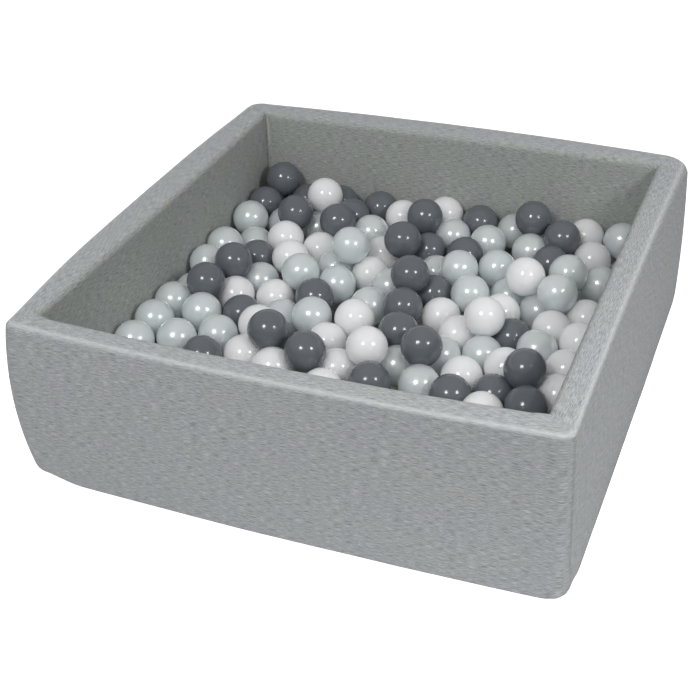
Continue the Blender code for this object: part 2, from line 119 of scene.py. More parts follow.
def cloth_in_mm(tree: bpy.types.NodeTree) -> bpy.types.NodeSocket:
    """Return the place on a cloth's own map, which is drawn in metres, in millimetres."""
    cloth = add_node(tree, "ShaderNodeUVMap", uv_map="Cloth").outputs["UV"]
    scale = (1 / MM, 1 / MM, 1.0)
    return add_node(tree, "ShaderNodeMapping", {"Vector": cloth, "Scale": scale}).outputs["Vector"]


def new_surface(name: str) -> tuple[bpy.types.Material, bpy.types.NodeTree, bpy.types.Node]:
    """Return a new material with its node tree and its empty Principled shader."""
    material = bpy.data.materials.new(name)
    material.use_nodes = True
    return material, material.node_tree, material.node_tree.nodes["Principled BSDF"]


def deselect_all() -> None:
    """Leave object mode with nothing selected."""
    if bpy.context.object and bpy.context.object.mode != "OBJECT":
        bpy.ops.object.mode_set(mode="OBJECT")
    bpy.ops.object.select_all(action="DESELECT")


def select_only(pieces: Sequence[bpy.types.Object]) -> None:
    """Select these objects alone and make the first one active."""
    deselect_all()
    for piece in pieces:
        piece.select_set(True)
    bpy.context.view_layer.objects.active = pieces[0]


def apply_modifiers(piece: bpy.types.Object) -> None:
    """Apply every modifier of a piece, in order."""
    select_only([piece])
    for modifier in list(piece.modifiers):
        bpy.ops.object.modifier_apply(modifier=modifier.name)


def join(pieces: Sequence[bpy.types.Object], name: str) -> bpy.types.Object:
    """Join objects into one piece whose origin is the world's.

    Args:
        pieces: The objects to join.
        name: The name of the joined piece.

    Returns:
        The joined piece.
    """
    select_only(pieces)
    if len(pieces) > 1:
        bpy.ops.object.join()
    joined = bpy.context.view_layer.objects.active
    bpy.ops.object.transform_apply(location=True, rotation=True, scale=True)
    joined.name = joined.data.name = name
    return joined


def copied(model: bpy.types.Object, name: str, place: Matrix) -> bpy.types.Object:
    """Return a copy of a model with its own mesh, moved in its mesh and not by its object."""
    mesh = model.data.copy()
    mesh.transform(place)
    piece = bpy.data.objects.new(name, mesh)
    bpy.context.scene.collection.objects.link(piece)
    return piece


def box_model(name: str, low: Sequence[float], high: Sequence[float], bevel: float) -> bpy.types.Object:
    """Model a block with softened edges from a cube primitive.

    Args:
        name: The name of the block.
        low: Its lowest corner.
        high: Its highest corner.
        bevel: The width of its softened edges.

    Returns:
        The block, with its place in its mesh.
    """
    low_corner, high_corner = Vector(low), Vector(high)
    deselect_all()
    bpy.ops.mesh.primitive_cube_add(size=1.0, location=(low_corner + high_corner) / 2)
    block = bpy.context.object
    block.name = name
    block.scale = high_corner - low_corner
    bpy.ops.object.transform_apply(location=True, rotation=True, scale=True)
    bevel_all(block, bevel, segments=2)
    return block


def bevel_all(piece: bpy.types.Object, width: float, segments: int = 1) -> None:
    """Soften every edge of a piece."""
    select_only([piece])
    bpy.ops.object.mode_set(mode="EDIT")
    bpy.ops.mesh.select_all(action="SELECT")
    bpy.ops.mesh.bevel(offset=width, segments=segments, affect="EDGES")
    bpy.ops.object.mode_set(mode="OBJECT")


def smooth(piece: bpy.types.Object, degrees: float = 35.0) -> None:
    """Shade a piece smooth, apart from edges sharper than an angle."""
    select_only([piece])
    bpy.ops.object.shade_smooth_by_angle(angle=math.radians(degrees))


def dress(piece: bpy.types.Object, material: bpy.types.Material, body: str) -> None:
    """Give a piece its finish and the body that it rides on."""
    piece.data.materials.clear()
    piece.data.materials.append(material)
    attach(piece, body)


def ease(share: float) -> float:
    """Return a smooth step from 0 to 1 for a share that is held to that range."""
    held = min(max(share, 0.0), 1.0)
    return held * held * (3 - 2 * held)


# Finishes.


@dataclass(frozen=True)
class MelangeJersey:
    """Single jersey knitted from melange yarn: grey fibres of several tones spun together.

    The tones lie along the courses, so the cloth shows short, slightly wavy dashes along each
    wall. The knit is matt with a soft bloom of loose fibre ends.
    """

    name: str = "melange_jersey_knit"
    dark_yarn: str = "#898C8F"
    light_yarn: str = "#CFD2D3"
    olive_cast: str = "#FCFDFA"
    violet_cast: str = "#FBFBFE"
    # A painted shade with a warm bounce cast, for the cloth inside the pit.
    inner_painted_shade: str = "#F0F1EA"
    # The painted highlight along the rim's outer edge: its colour and its strength.
    rim_highlight_yarn: str = "#DFE1E2"
    rim_highlight_strength: float = 0.48
    cast_mm: float = 70.0
    cast_range: tuple[float, float] = (0.35, 0.65)
    long_dash_mm: tuple[float, float] = (16.0, 1.0)
    short_dash_mm: tuple[float, float] = (6.4, 0.5)
    short_share: float = 0.35
    tone_range: tuple[float, float] = (0.37, 0.63)
    bend_length_mm: float = 13.0
    bend_width_mm: float = 6.0
    wander_mm: tuple[float, float, float] = (3.0, 2.0, 0.0)
    wale_mm: float = 1.3
    course_mm: float = 1.0

    def build(self) -> bpy.types.Material:
        """Return the material, which reads the cloth's own map, drawn in metres."""
        material, tree, shader = new_surface(self.name)
        in_mm = cloth_in_mm(tree)
        # The yarn doesn't run dead straight, so the dashes wander by up to half their width.
        bends = add_node(
            tree,
            "ShaderNodeMapping",
            {"Vector": in_mm, "Scale": (1 / self.bend_length_mm, 1 / self.bend_width_mm, 1.0)},
        ).outputs["Vector"]
        wander = add_node(
            tree, "ShaderNodeTexNoise", {"Vector": bends, "Scale": 1.0, "Detail": 1.0}
        ).outputs["Color"]
        centred = add_node(
            tree, "ShaderNodeVectorMath", {0: wander, 1: (0.5, 0.5, 0.5)}, operation="SUBTRACT"
        ).outputs["Vector"]
        shift = add_node(
            tree, "ShaderNodeVectorMath", {0: centred, 1: self.wander_mm}, operation="MULTIPLY"
        ).outputs["Vector"]
        drawn = add_node(
            tree, "ShaderNodeVectorMath", {0: in_mm, 1: shift}, operation="ADD"
        ).outputs["Vector"]
        long_dashes = self.dashes(tree, drawn, *self.long_dash_mm, detail=1.5)
        short_dashes = self.dashes(tree, drawn, *self.short_dash_mm, detail=1.0)
        tone = add_node(
            tree,
            "ShaderNodeMix",
            {"Factor": self.short_share, "A": long_dashes, "B": short_dashes},
            data_type="FLOAT",
        ).outputs["Result"]
        darkest, lightest = self.tone_range
        share = add_node(
            tree, "ShaderNodeMapRange", {"Value": tone, "From Min": darkest, "From Max": lightest}
        ).outputs["Result"]
        yarn = add_node(
            tree,
            "ShaderNodeMix",
            {"Factor": share, "A": linear(self.dark_yarn), "B": linear(self.light_yarn)},
            data_type="RGBA",
        ).outputs["Result"]
        # The dye takes a little unevenly, so the grey drifts between olive and violet.
        drift = add_node(
            tree, "ShaderNodeTexNoise", {"Vector": in_mm, "Scale": 1 / self.cast_mm, "Detail": 1.0}
        ).outputs["Fac"]
        olive, violet = self.cast_range
        drift = add_node(
            tree, "ShaderNodeMapRange", {"Value": drift, "From Min": olive, "From Max": violet}
        ).outputs["Result"]
        cast = add_node(
            tree,
            "ShaderNodeMix",
            {"Factor": drift, "A": linear(self.olive_cast), "B": linear(self.violet_cast)},
            data_type="RGBA",
        ).outputs["Result"]
        yarn = add_node(
            tree,
            "ShaderNodeMix",
            {"Factor": 1.0, "A": yarn, "B": cast},
            data_type="RGBA",
            blend_type="MULTIPLY",
        ).outputs["Result"]
        # Painted shade and bounce light: the cloth inside the pit, the floor sheet too, is multiplied by a
        # faint warm grey, for the shade inside the walls and the warm light that the pearl balls and the
        # foam throw back.
        inside = add_node(tree, "ShaderNodeAttribute", attribute_name="inside").outputs["Fac"]
        painted_light_yarn = add_node(
            tree,
            "ShaderNodeMix",
            {"Factor": inside, "A": yarn, "B": linear(self.inner_painted_shade)},
            data_type="RGBA",
            blend_type="MULTIPLY",
        ).outputs["Result"]
        # Painted highlight: a pale band along the rim's outer edge, where its rounded edge faces the lamps.
        edge_highlight = add_node(tree, "ShaderNodeAttribute", attribute_name="edge_highlight").outputs["Fac"]
        rim_highlight = add_node(
            tree, "ShaderNodeMath", {0: edge_highlight, 1: self.rim_highlight_strength}, operation="MULTIPLY"
        ).outputs["Value"]
        painted_light_yarn = add_node(
            tree,
            "ShaderNodeMix",
            {"Factor": rim_highlight, "A": painted_light_yarn, "B": linear(self.rim_highlight_yarn)},
            data_type="RGBA",
        ).outputs["Result"]
        stitches = self.stitches(tree, in_mm)
        relief = add_node(
            tree, "ShaderNodeMix", {"Factor": 0.5, "A": stitches, "B": tone}, data_type="FLOAT"
        ).outputs["Result"]
        bump = add_node(
            tree, "ShaderNodeBump", {"Height": relief, "Strength": 0.35, "Distance": 0.0004}
        ).outputs["Normal"]
        bloom = {"Sheen Weight": 0.12, "Sheen Roughness": 0.6}
        matt = {"Roughness": 0.95, "Specular IOR Level": 0.15}
        feed(tree, shader, {"Base Color": painted_light_yarn, "Normal": bump, **matt, **bloom})
        return material

    def dashes(
        self,
        tree: bpy.types.NodeTree,
        drawn: bpy.types.NodeSocket,
        length_mm: float,
        width_mm: float,
        detail: float,
    ) -> bpy.types.NodeSocket:
        """Return the tone of one family of dashes of a length and a width."""
        stretched = add_node(
            tree,
            "ShaderNodeMapping",
            {"Vector": drawn, "Scale": (1 / length_mm, 1 / width_mm, 1.0)},
        ).outputs["Vector"]
        return add_node(
            tree,
            "ShaderNodeTexNoise",
            {"Vector": stretched, "Scale": 1.0, "Detail": detail, "Roughness": 0.6},
        ).outputs["Fac"]

    def stitches(self, tree: bpy.types.NodeTree, in_mm: bpy.types.NodeSocket) -> bpy.types.NodeSocket:
        """Return the relief of the knit: wales down the wall and courses along it."""
        wales, courses = (
            add_node(
                tree,
                "ShaderNodeTexWave",
                {"Vector": in_mm, "Scale": WAVE_PERIOD / width_mm},
                bands_direction=direction,
            ).outputs["Fac"]
            for width_mm, direction in ((self.wale_mm, "X"), (self.course_mm, "Y"))
        )
        return add_node(
            tree, "ShaderNodeMath", {0: wales, 1: courses}, operation="MULTIPLY"
        ).outputs["Value"]


@dataclass(frozen=True)
class PolyurethaneFoam:
    """Flexible polyurethane foam, cut from a block: matt, with cut cells of about 1 mm."""

    name: str = "cut_polyurethane_foam"
    face: str = "#E2E0D6"
    # The colour at the middle of each cell: a painted shade for its pore.
    cell: str = "#C4C1B3"
    cell_mm: float = 1.2

    def build(self) -> bpy.types.Material:
        """Return the material, with its cells drawn in object space."""
        material, tree, shader = new_surface(self.name)
        place = add_node(tree, "ShaderNodeTexCoord").outputs["Object"]
        cells = add_node(
            tree,
            "ShaderNodeTexVoronoi",
            {"Vector": place, "Scale": 1 / (self.cell_mm * MM)},
        ).outputs["Distance"]
        # Painted shade: each cell is darker toward its middle, where its bump sinks into a pore.
        colour = add_node(
            tree,
            "ShaderNodeMix",
            {"Factor": cells, "A": linear(self.cell), "B": linear(self.face)},
            data_type="RGBA",
        ).outputs["Result"]
        bump = add_node(
            tree, "ShaderNodeBump", {"Height": cells, "Strength": 0.5, "Distance": 0.0005}
        ).outputs["Normal"]
        feed(tree, shader, {"Base Color": colour, "Normal": bump, "Roughness": 0.95})
        return material


@dataclass(frozen=True)
class BlownPolyethylene:
    """Low-density polyethylene, blow-moulded into a thin ball.

    The mould is polished, so the skin is glossy, and the blown wall is not quite even, which
    bends its reflections a little. The pearl grade has mica in it, which gives a broad bloom
    round each highlight. The wall of a pale ball lets light through to the hollow, which carries
    it to the ball's far side, so its depth is about the ball's width and its shade stays soft.
    """

    name: str
    colour: str
    shade: str
    roughness: float = 0.16
    mica: float = 0.0
    mica_roughness: float = 0.27
    mica_specular: float = 0.8
    mica_sheen: float = 0.3
    mica_sheen_roughness: float = 0.4
    depth: float = 60.0 * MM

    def build(self) -> bpy.types.Material:
        """Return the material, with its unevenness drawn in object space."""
        material, tree, shader = new_surface(self.name)
        place = add_node(tree, "ShaderNodeTexCoord").outputs["Object"]
        # The wall's thickness drifts over about 25 mm, and the colour drifts with it.
        drift = add_node(
            tree, "ShaderNodeTexNoise", {"Vector": place, "Scale": 1 / (25 * MM), "Detail": 2.0}
        ).outputs["Fac"]
        colour = add_node(
            tree,
            "ShaderNodeMix",
            {"Factor": drift, "A": linear(self.shade), "B": linear(self.colour)},
            data_type="RGBA",
        ).outputs["Result"]
        # The skin has a faint orange peel of about 4 mm from the mould.
        peel = add_node(
            tree, "ShaderNodeTexNoise", {"Vector": place, "Scale": 1 / (4 * MM), "Detail": 1.0}
        ).outputs["Fac"]
        bump = add_node(
            tree, "ShaderNodeBump", {"Height": peel, "Strength": 0.12, "Distance": 0.0003}
        ).outputs["Normal"]
        skin = {"IOR": 1.51, "Metallic": self.mica, "Roughness": self.roughness}
        if self.depth:
            skin["Subsurface Weight"] = 1.0
            skin["Subsurface Radius"] = (1.0, 1.0, 1.0)
            skin["Subsurface Scale"] = self.depth
        if self.mica:
            skin |= {"Coat Weight": 1.0, "Coat Roughness": self.roughness}
            skin |= {"Roughness": self.mica_roughness, "Specular IOR Level": self.mica_specular}
            skin |= {"Sheen Weight": self.mica_sheen, "Sheen Roughness": self.mica_sheen_roughness}
        feed(tree, shader, {"Base Color": colour, "Normal": bump, **skin})
        return material


@dataclass(frozen=True)
class WovenTape:
    """Polyester zip tape in a close herringbone weave: matt, with ribs along its length."""

    name: str = "woven_polyester_tape"
    warp: str = "#8E9093"
    weft: str = "#A9ABAE"
    rib_mm: float = 0.9

    def build(self) -> bpy.types.Material:
        """Return the material, drawn on the tape's own map."""
        material, tree, shader = new_surface(self.name)
        ribs = add_node(
            tree,
            "ShaderNodeTexWave",
            {"Vector": cloth_in_mm(tree), "Scale": WAVE_PERIOD / self.rib_mm, "Distortion": 0.6},
            bands_direction="DIAGONAL",
        ).outputs["Fac"]
        colour = add_node(
            tree,
            "ShaderNodeMix",
            {"Factor": ribs, "A": linear(self.warp), "B": linear(self.weft)},
            data_type="RGBA",
        ).outputs["Result"]
        bump = add_node(
            tree, "ShaderNodeBump", {"Height": ribs, "Strength": 0.4, "Distance": 0.0002}
        ).outputs["Normal"]
        feed(tree, shader, {"Base Color": colour, "Normal": bump, "Roughness": 0.85})
        return material


@dataclass(frozen=True)
class CastZinc:
    """Die-cast zinc with a nickel wash: a soft grey shine, rubbed brighter in patches."""

    name: str = "nickel_washed_zinc"
    bright: str = "#B9BABC"
    dull: str = "#8F9194"

    def build(self) -> bpy.types.Material:
        """Return the material, with its wear drawn in object space."""
        material, tree, shader = new_surface(self.name)
        place = add_node(tree, "ShaderNodeTexCoord").outputs["Object"]
        wear = add_node(
            tree, "ShaderNodeTexNoise", {"Vector": place, "Scale": 1 / (2.5 * MM), "Detail": 3.0}
        ).outputs["Fac"]
        colour = add_node(
            tree,
            "ShaderNodeMix",
            {"Factor": wear, "A": linear(self.dull), "B": linear(self.bright)},
            data_type="RGBA",
        ).outputs["Result"]
        rough = add_node(
            tree, "ShaderNodeMapRange", {"Value": wear, "To Min": 0.45, "To Max": 0.25}
        ).outputs["Result"]
        feed(tree, shader, {"Base Color": colour, "Roughness": rough, "Metallic": 1.0})
        return material


@dataclass(frozen=True)
class SewingThread:
    """Spun polyester sewing thread: matt, a little darker than the cloth that it holds."""

    name: str = "spun_polyester_thread"
    colour: str = "#7E8083"
    lit: str = "#9A9C9F"

    def build(self) -> bpy.types.Material:
        """Return the material, with its twist drawn in object space."""
        material, tree, shader = new_surface(self.name)
        place = add_node(tree, "ShaderNodeTexCoord").outputs["Object"]
        twist = add_node(
            tree, "ShaderNodeTexNoise", {"Vector": place, "Scale": 1 / (0.5 * MM)}
        ).outputs["Fac"]
        # Painted highlight: the twist is drawn as random patches of the paler, lit tone, for the plies that
        # catch the light.
        colour = add_node(
            tree,
            "ShaderNodeMix",
            {"Factor": twist, "A": linear(self.colour), "B": linear(self.lit)},
            data_type="RGBA",
        ).outputs["Result"]
        feed(tree, shader, {"Base Color": colour, "Roughness": 0.8})
        return material


# The cover and its foam.


class Side(Enum):
    """A wall of the pit, with its quarter turns from the front."""

    FRONT = 0
    RIGHT = 1
    BACK = 2
    LEFT = 3

    @property
    def label(self) -> str:
        """Return the name that the wall has in the frame."""
        return self.name.lower()

    @property
    def turn(self) -> Matrix:
        """Return the turn from the front wall to this one."""
        return Matrix.Rotation(self.value * math.pi / 2, 4, "Z")


@dataclass
class PitSizes:
    """The sizes of the pit that its pieces share, read from the frame.

    The bow and the radii can't be read from a box, so they are named here.
    """

    bow: float = 0.006
    top_inner_radius: float = 0.009
    hem: float = 0.008
    fabric: float = 0.0013
    half: float = field(init=False)
    inner: float = field(init=False)
    height: float = field(init=False)
    floor_top: float = field(init=False)

    def __post_init__(self) -> None:
        """Read the pit's half side, inner half side, height and floor from the frame."""
        low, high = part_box("cover_front")
        self.half = -low.y - self.bow
        self.inner = -high.y
        self.height = high.z
        self.floor_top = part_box("cover_floor")[1].z


HEM_POINTS = 3
"""How many points of a wall's section make its hem."""
FOOT_POINTS = 13
"""How many points of a wall's section make its hem and its foot."""


@dataclass(frozen=True)
class Section:
    """How the padded wall departs from the CAD's section at one place along it.

    Args:
        swell: How far its outer face stands out beyond the CAD's, at the foot.
        lean: How far its outer face leans in from the foot to the rim.
        room: How far the rim's inner edge stands back from the CAD's.
        drop: How far the rim lies below the CAD's.
        crown: How far its outer face bulges at mid-height.
        rise: How far the middle of its rim stands up.
        edge_radius: The radius of the rim's outer edge.
        foot_radius: The radius of its foot.
    """

    swell: float = 0.0
    lean: float = 0.0
    room: float = 0.0
    drop: float = 0.0
    crown: float = 0.003
    rise: float = 0.0015
    edge_radius: float = 0.010
    foot_radius: float = 0.006


@dataclass(frozen=True)
class Corner(Section):
    """An upright corner of the cover.

    Args:
        plan_radius: The radius of its outer edge in plan.
        toe_radius: The radius of the foot right at the corner.
        toe_reach: The distance along the wall over which the foot grows to that.
        toe_shift: How far past the corner's point the foot is tallest, toward the next wall.
        rim_seam: The depth of the mitre seam across the rim.
        pucker: The depth of the gathers beside its inner seam.
    """

    plan_radius: float = 0.030
    toe_radius: float = 0.035
    toe_reach: float = 0.048
    toe_shift: float = 0.0
    rim_seam: float = 0.0004
    pucker: float = 0.0008


@dataclass(frozen=True)
class WallShape:
    """One wall's cover, which runs from a corner to the next one, seen from outside.

    Args:
        side: The wall.
        start: The corner at its left.
        end: The corner at its right.
        middle: The section halfway.
        wave: The height of the slow waves in its cloth.
    """

    side: Side
    start: Corner
    end: Corner
    middle: Section
    wave: float = 0.0006

    def section(self, share: float) -> Section:
        """Return the section at a share of the half length, from -1 at the start to 1."""
        parts = (self.start, self.middle, self.end)
        weights = (share * (share - 1) / 2, 1 - share * share, share * (share + 1) / 2)
        values = (
            sum(weight * getattr(part, value.name) for weight, part in zip(weights, parts))
            for value in fields(Section)
        )
        return Section(*values)


@dataclass
class Station:
    """One cross-section of a wall.

    Args:
        outer: The plan point on its outer face.
        inner: The plan point on its inner face.
        way: The direction that its outer face looks in.
        place: The distance along the outer face from the wall's middle.
        from_seam: The distance from the nearer mitre seam.
        corner: The nearer corner.
        section: The section there.
    """

    outer: Vector
    inner: Vector
    way: Vector
    place: float
    from_seam: float
    corner: Corner
    section: Section

    @property
    def thickness(self) -> float:
        """Return the wall's thickness, square to its outer face."""
        return (self.outer - self.inner).dot(self.way)


@dataclass
class Net:
    """A net of points over a cloth, in rows along it.

    Args:
        points: The points.
        cloth: The cloth's own map, in metres.
        inside: How far each point is inside the pit, from 0 to 1.
        across: How far each point is across the wall, from 0 outside to 1 inside.
        edge_highlight: The share of the painted highlight along the rim's outer edge, from 0 to 1.
    """

    points: np.ndarray
    cloth: np.ndarray
    inside: np.ndarray
    across: np.ndarray
    edge_highlight: np.ndarray


@dataclass
class Panel:
    """One wall's jersey panel: hem, outer face, rim and inner face in one piece of cloth.

    With an inset and a lower floor level, it is the skin of the foam board inside instead.

    Args:
        sizes: The pit's sizes.
        shape: The wall's shape.
        inset: How far the skin lies inside the cloth.
        seam_gap: The gap between two panels at their seam.
        floor_room: The room between the inner face and the floor sheet.
        face_seam: The depth of the upright seam outside.
        inner_seam: The depth of the upright seam inside.
        seam_reach: The distance over which a seam's groove fades.
        strip_height: The height of the strip where the seam allowance lies under the cloth.
        strip_band_mm: Where the strip starts, how wide its slope is, where it ends, and the same.
        lean_start: The height from which the inner face stands back.
        lean_reach: The height over which it does so.
        tuck_depth: The width of the seam allowance that is turned in.
        wrap: How far a corner's curve belongs to the front or back panel.
        least_tread: The least width of wall that stays inside the hem.
        rim_band: The share of the height where the rim starts, and the share that it fades over.
        seam_band: The height where the upright seams start, and the height that they fade over.
        inner_band: How far out from the inner face the inside starts, and what it fades over.
        gather_band: How far below the rim the gathers start, rise, end and fall.
        gather_folds_mm: The place, the width and the share of each gather beside a corner.
        wave_reach: The distance from a seam at which the waves are full.
        waves_per_metre: How often the slow and the quick waves swing.
        quick_wave: The height of the quick waves outside.
        inner_wave: The height of the slow waves inside.
        edge_highlight_share: The place across the rim's edge, in its radii, where the painted highlight is
            brightest.
        edge_highlight_reach: The distance over which the painted highlight fades.
        steps: The points on the face, the outer edge, the rim, the inner edge and the inner face.
    """

    sizes: PitSizes
    shape: WallShape
    inset: float = 0.0
    seam_gap: float = 0.0001
    floor_room: float = 0.4 * MM
    face_seam: float = 0.0020
    inner_seam: float = 0.0008
    seam_reach: float = 0.0022
    strip_height: float = 0.0004
    strip_band_mm: tuple[float, float, float, float] = (2.5, 1.2, 8.0, 1.2)
    lean_start: float = 0.12
    lean_reach: float = 0.16
    tuck_depth: float = 0.005
    wrap: float = math.radians(72)
    least_tread: float = 0.004
    rim_band: tuple[float, float] = (0.93, 0.05)
    seam_band: tuple[float, float] = (0.02, 0.04)
    inner_band: tuple[float, float] = (0.012, 0.010)
    gather_band: tuple[float, float, float, float] = (0.0, 0.010, 0.040, 0.070)
    gather_folds_mm: tuple[tuple[float, float, float], ...] = ((5.5, 1.8, 1.0), (12.0, 2.4, 0.55))
    wave_reach: float = 0.045
    waves_per_metre: tuple[float, float] = (5.0, 13.0)
    quick_wave: float = 0.0003
    inner_wave: float = 0.0008
    edge_highlight_share: float = 0.6
    edge_highlight_reach: float = 0.0035
    steps: tuple[int, int, int, int, int] = (30, 8, 8, 6, 28)
    end_steps_mm: tuple[float, ...] = (
        0.0, 0.8, 1.6, 2.5, 3.5, 4.8, 6.2, 7.8, 9.6, 11.8, 14.5, 18.0, 22.5, 28.0, 34.5, 42.0, 50.0,
    )
    middle_steps: int = 48

    def stations(self) -> list[Station]:
        """Return the panel's cross-sections, from seam to seam."""
        ends = np.array(self.end_steps_mm) * MM
        found = []
        for side, corner in ((-1, self.shape.start), (1, self.shape.end)):
            turn = self.wrap if self.shape.side in (Side.FRONT, Side.BACK) else math.pi / 2 - self.wrap
            reach = self.sizes.half - corner.plan_radius * (1 - turn)
            middle = np.linspace(reach - ends[-1], 0, self.middle_steps)[1:]
            half = [self.station(side * place, reach, corner) for place in [*(reach - ends), *middle]]
            found += half if side < 0 else half[-2::-1]
        return found

    def station(self, place: float, reach: float, corner: Corner) -> Station:
        """Return the cross-section at a place along the outer face.

        Args:
            place: The distance from the wall's middle, negative toward its start.
            reach: The distance from the middle to the seam.
            corner: The nearer corner.

        Returns:
            The cross-section.
        """
        sizes = self.sizes
        side = 1 if place > 0 else -1
        section = self.shape.section(place / reach)
        run = sizes.half - corner.plan_radius
        angle = max(abs(place) - run, 0.0) / corner.plan_radius
        way = Vector((side * math.sin(angle), -math.cos(angle), 0))
        if angle:
            outer = Vector((side * run, -run, 0)) + way * (corner.plan_radius + section.swell)
        else:
            bow = sizes.bow * (1 - (place / run) ** 2)
            outer = Vector((place, -sizes.half - bow - section.swell, 0))
        inner = Vector((place / reach * sizes.inner, -sizes.inner, 0))
        from_seam = reach - abs(place)
        shift = Vector((-side * self.seam_gap * max(0.0, 1 - from_seam / (4 * self.seam_gap)), 0, 0))
        return Station(outer + shift, inner + shift, way, place, from_seam, corner, section)

    def foot(self, station: Station) -> float:
        """Return the height of the foot's curve, which grows toward a corner."""
        corner, least = station.corner, station.section.foot_radius
        past_point = abs(station.place) - self.sizes.half + corner.plan_radius * (1 - math.pi / 4)
        from_tallest = abs(math.copysign(1, station.place) * past_point - corner.toe_shift)
        return least + (corner.toe_radius - least) * (1 - ease(from_tallest / corner.toe_reach))

    def tread(self, station: Station) -> float:
        """Return how far in the foot's curve reaches, which leaves room for the hem."""
        return min(self.foot(station), station.thickness - self.sizes.hem - self.least_tread)

    def profile(self, station: Station, lowest_inside: float) -> list[tuple[float, float]]:
        """Return one upright cross-section as depth from the outer face and height.

        Args:
            station: The cross-section's place.
            lowest_inside: The height that the inner face comes down to.

        Returns:
            Points from the hem under the wall, up and over it, and down inside.
        """
        sizes, inset, foot, tread = self.sizes, self.inset, self.foot(station), self.tread(station)
        edge, inner_edge = station.section.edge_radius, sizes.top_inner_radius
        top, deep = sizes.height, station.thickness
        on_face, on_edge, on_rim, on_inner_edge, on_inner_face = self.steps
        inner_centre = (deep - inner_edge, top - inner_edge)
        points = [(tread + sizes.hem * (1 - i / HEM_POINTS), inset) for i in range(HEM_POINTS)]
        points += self.arc((tread, foot), (tread - inset, foot - inset), -90, -180, FOOT_POINTS - HEM_POINTS)
        points += self.line((inset, foot), (inset, top - edge), on_face)
        points += self.arc((edge, top - edge), (edge - inset,) * 2, 180, 90, on_edge)
        points += self.line((edge, top - inset), (deep - inner_edge, top - inset), on_rim)
        points += self.arc(inner_centre, (inner_edge - inset,) * 2, 90, 0, on_inner_edge)
        points += self.line((deep - inset, top - inner_edge), (deep - inset, lowest_inside), on_inner_face)
        points.append((deep - inset, lowest_inside))
        return points

    def leant(self, station: Station, depth: float, height: float) -> tuple[float, float]:
        """Return a point of the upright section after the wall's lean and the rim's drop."""
        section, top = station.section, self.sizes.height
        share = depth / station.thickness
        out_lean = (1 - share) * section.lean * height / top
        in_lean = share * section.room * ease((height - self.lean_start) / self.lean_reach)
        return depth + out_lean - in_lean, height * (1 - section.drop / top)

    def arc(
        self, centre: tuple[float, float], radii: tuple[float, float], start: float, end: float, steps: int
    ) -> list[tuple[float, float]]:
        """Return points along an arc between two angles in degrees, without the last one."""
        angles = np.radians(np.linspace(start, end, steps + 1)[:-1])
        return [(centre[0] + radii[0] * math.cos(a), centre[1] + radii[1] * math.sin(a)) for a in angles]

    def line(
        self, start: tuple[float, float], end: tuple[float, float], steps: int
    ) -> list[tuple[float, float]]:
        """Return points along a straight line, without the last one."""
        shares = [i / steps for i in range(steps)]
        return [
            (start[0] + (end[0] - start[0]) * share, start[1] + (end[1] - start[1]) * share)
            for share in shares
        ]

    def net(self, lowest_inside: float) -> Net:
        """Return the cloth's net before its relief."""
        sizes = self.sizes
        inner_start, inner_fade = self.inner_band
        points, cloth, inside, across, edge_highlight = [], [], [], [], []
        for station in self.stations():
            edge, deep = station.section.edge_radius, station.thickness
            upright = self.profile(station, lowest_inside)
            profile = [self.leant(station, depth, height) for depth, height in upright]
            lengths = np.cumsum([0.0, *(math.dist(a, b) for a, b in zip(profile, profile[1:]))])
            lengths += profile[FOOT_POINTS][1] - lengths[FOOT_POINTS]
            row = []
            for (depth, height), length in zip(profile, lengths):
                row.append(tuple(station.outer.lerp(station.inner, depth / deep) + Vector((0, 0, height))))
                cloth.append((station.place + sizes.half, length))
            for depth, height in upright:
                within = ease((depth - deep + inner_start) / inner_fade)
                inside.append(within if height > self.foot(station) else 0.0)
                across.append(min(max(depth / deep, 0.0), 1.0))
                # The painted highlight along the rim's outer edge is brightest partway round its curve.
                over = math.exp(-(((depth - edge * self.edge_highlight_share) / self.edge_highlight_reach) ** 2))
                edge_highlight.append(over if height > sizes.height - edge else 0.0)
            points.append(row)
        grid = np.array(points)
        shape = grid.shape[:2]
        lists = (cloth, inside, across, edge_highlight)
        return Net(grid, *(np.array(values).reshape(*shape, -1).squeeze() for values in lists))

    def relief(self, net: Net) -> np.ndarray:
        """Return how far each point of the cloth moves out along its normal."""
        shape, stations = self.shape, self.stations()
        up = np.clip(net.points[..., 2] / self.sizes.height, 0, 1)
        outside = 1 - net.inside
        rim_start, rim_fade = self.rim_band
        seam_start, seam_fade = self.seam_band
        on_rim = smooth_steps((up - rim_start) / rim_fade) * outside
        crown, rise, from_seam, rim_seam, at_end = (
            np.array([value(station) for station in stations])[:, None]
            for value in (
                lambda station: station.section.crown,
                lambda station: station.section.rise,
                lambda station: station.from_seam,
                lambda station: station.corner.rim_seam,
                lambda station: float(station.place > 0),
            )
        )
        moved = outside * crown * 4 * up * (1 - up)
        moved += on_rim * rise * 4 * net.across * (1 - net.across)
        seam = (outside - on_rim) * self.face_seam + on_rim * rim_seam + net.inside * self.inner_seam
        seam = seam * smooth_steps((net.points[..., 2] - seam_start) / seam_fade)
        moved -= seam * np.exp(-((from_seam / self.seam_reach) ** 2))
        strip = smooth_band(from_seam / MM, *self.strip_band_mm)
        moved += at_end * (outside - on_rim) * self.strip_height * strip
        moved += net.inside * self.gathers(stations, net)
        away = smooth_steps(from_seam / self.wave_reach)
        slow, quick = (self.waves(net.points, per_metre) for per_metre in self.waves_per_metre)
        moved += away * outside * (shape.wave * slow + self.quick_wave * quick)
        moved -= away * net.inside * self.inner_wave * np.abs(slow)
        return moved

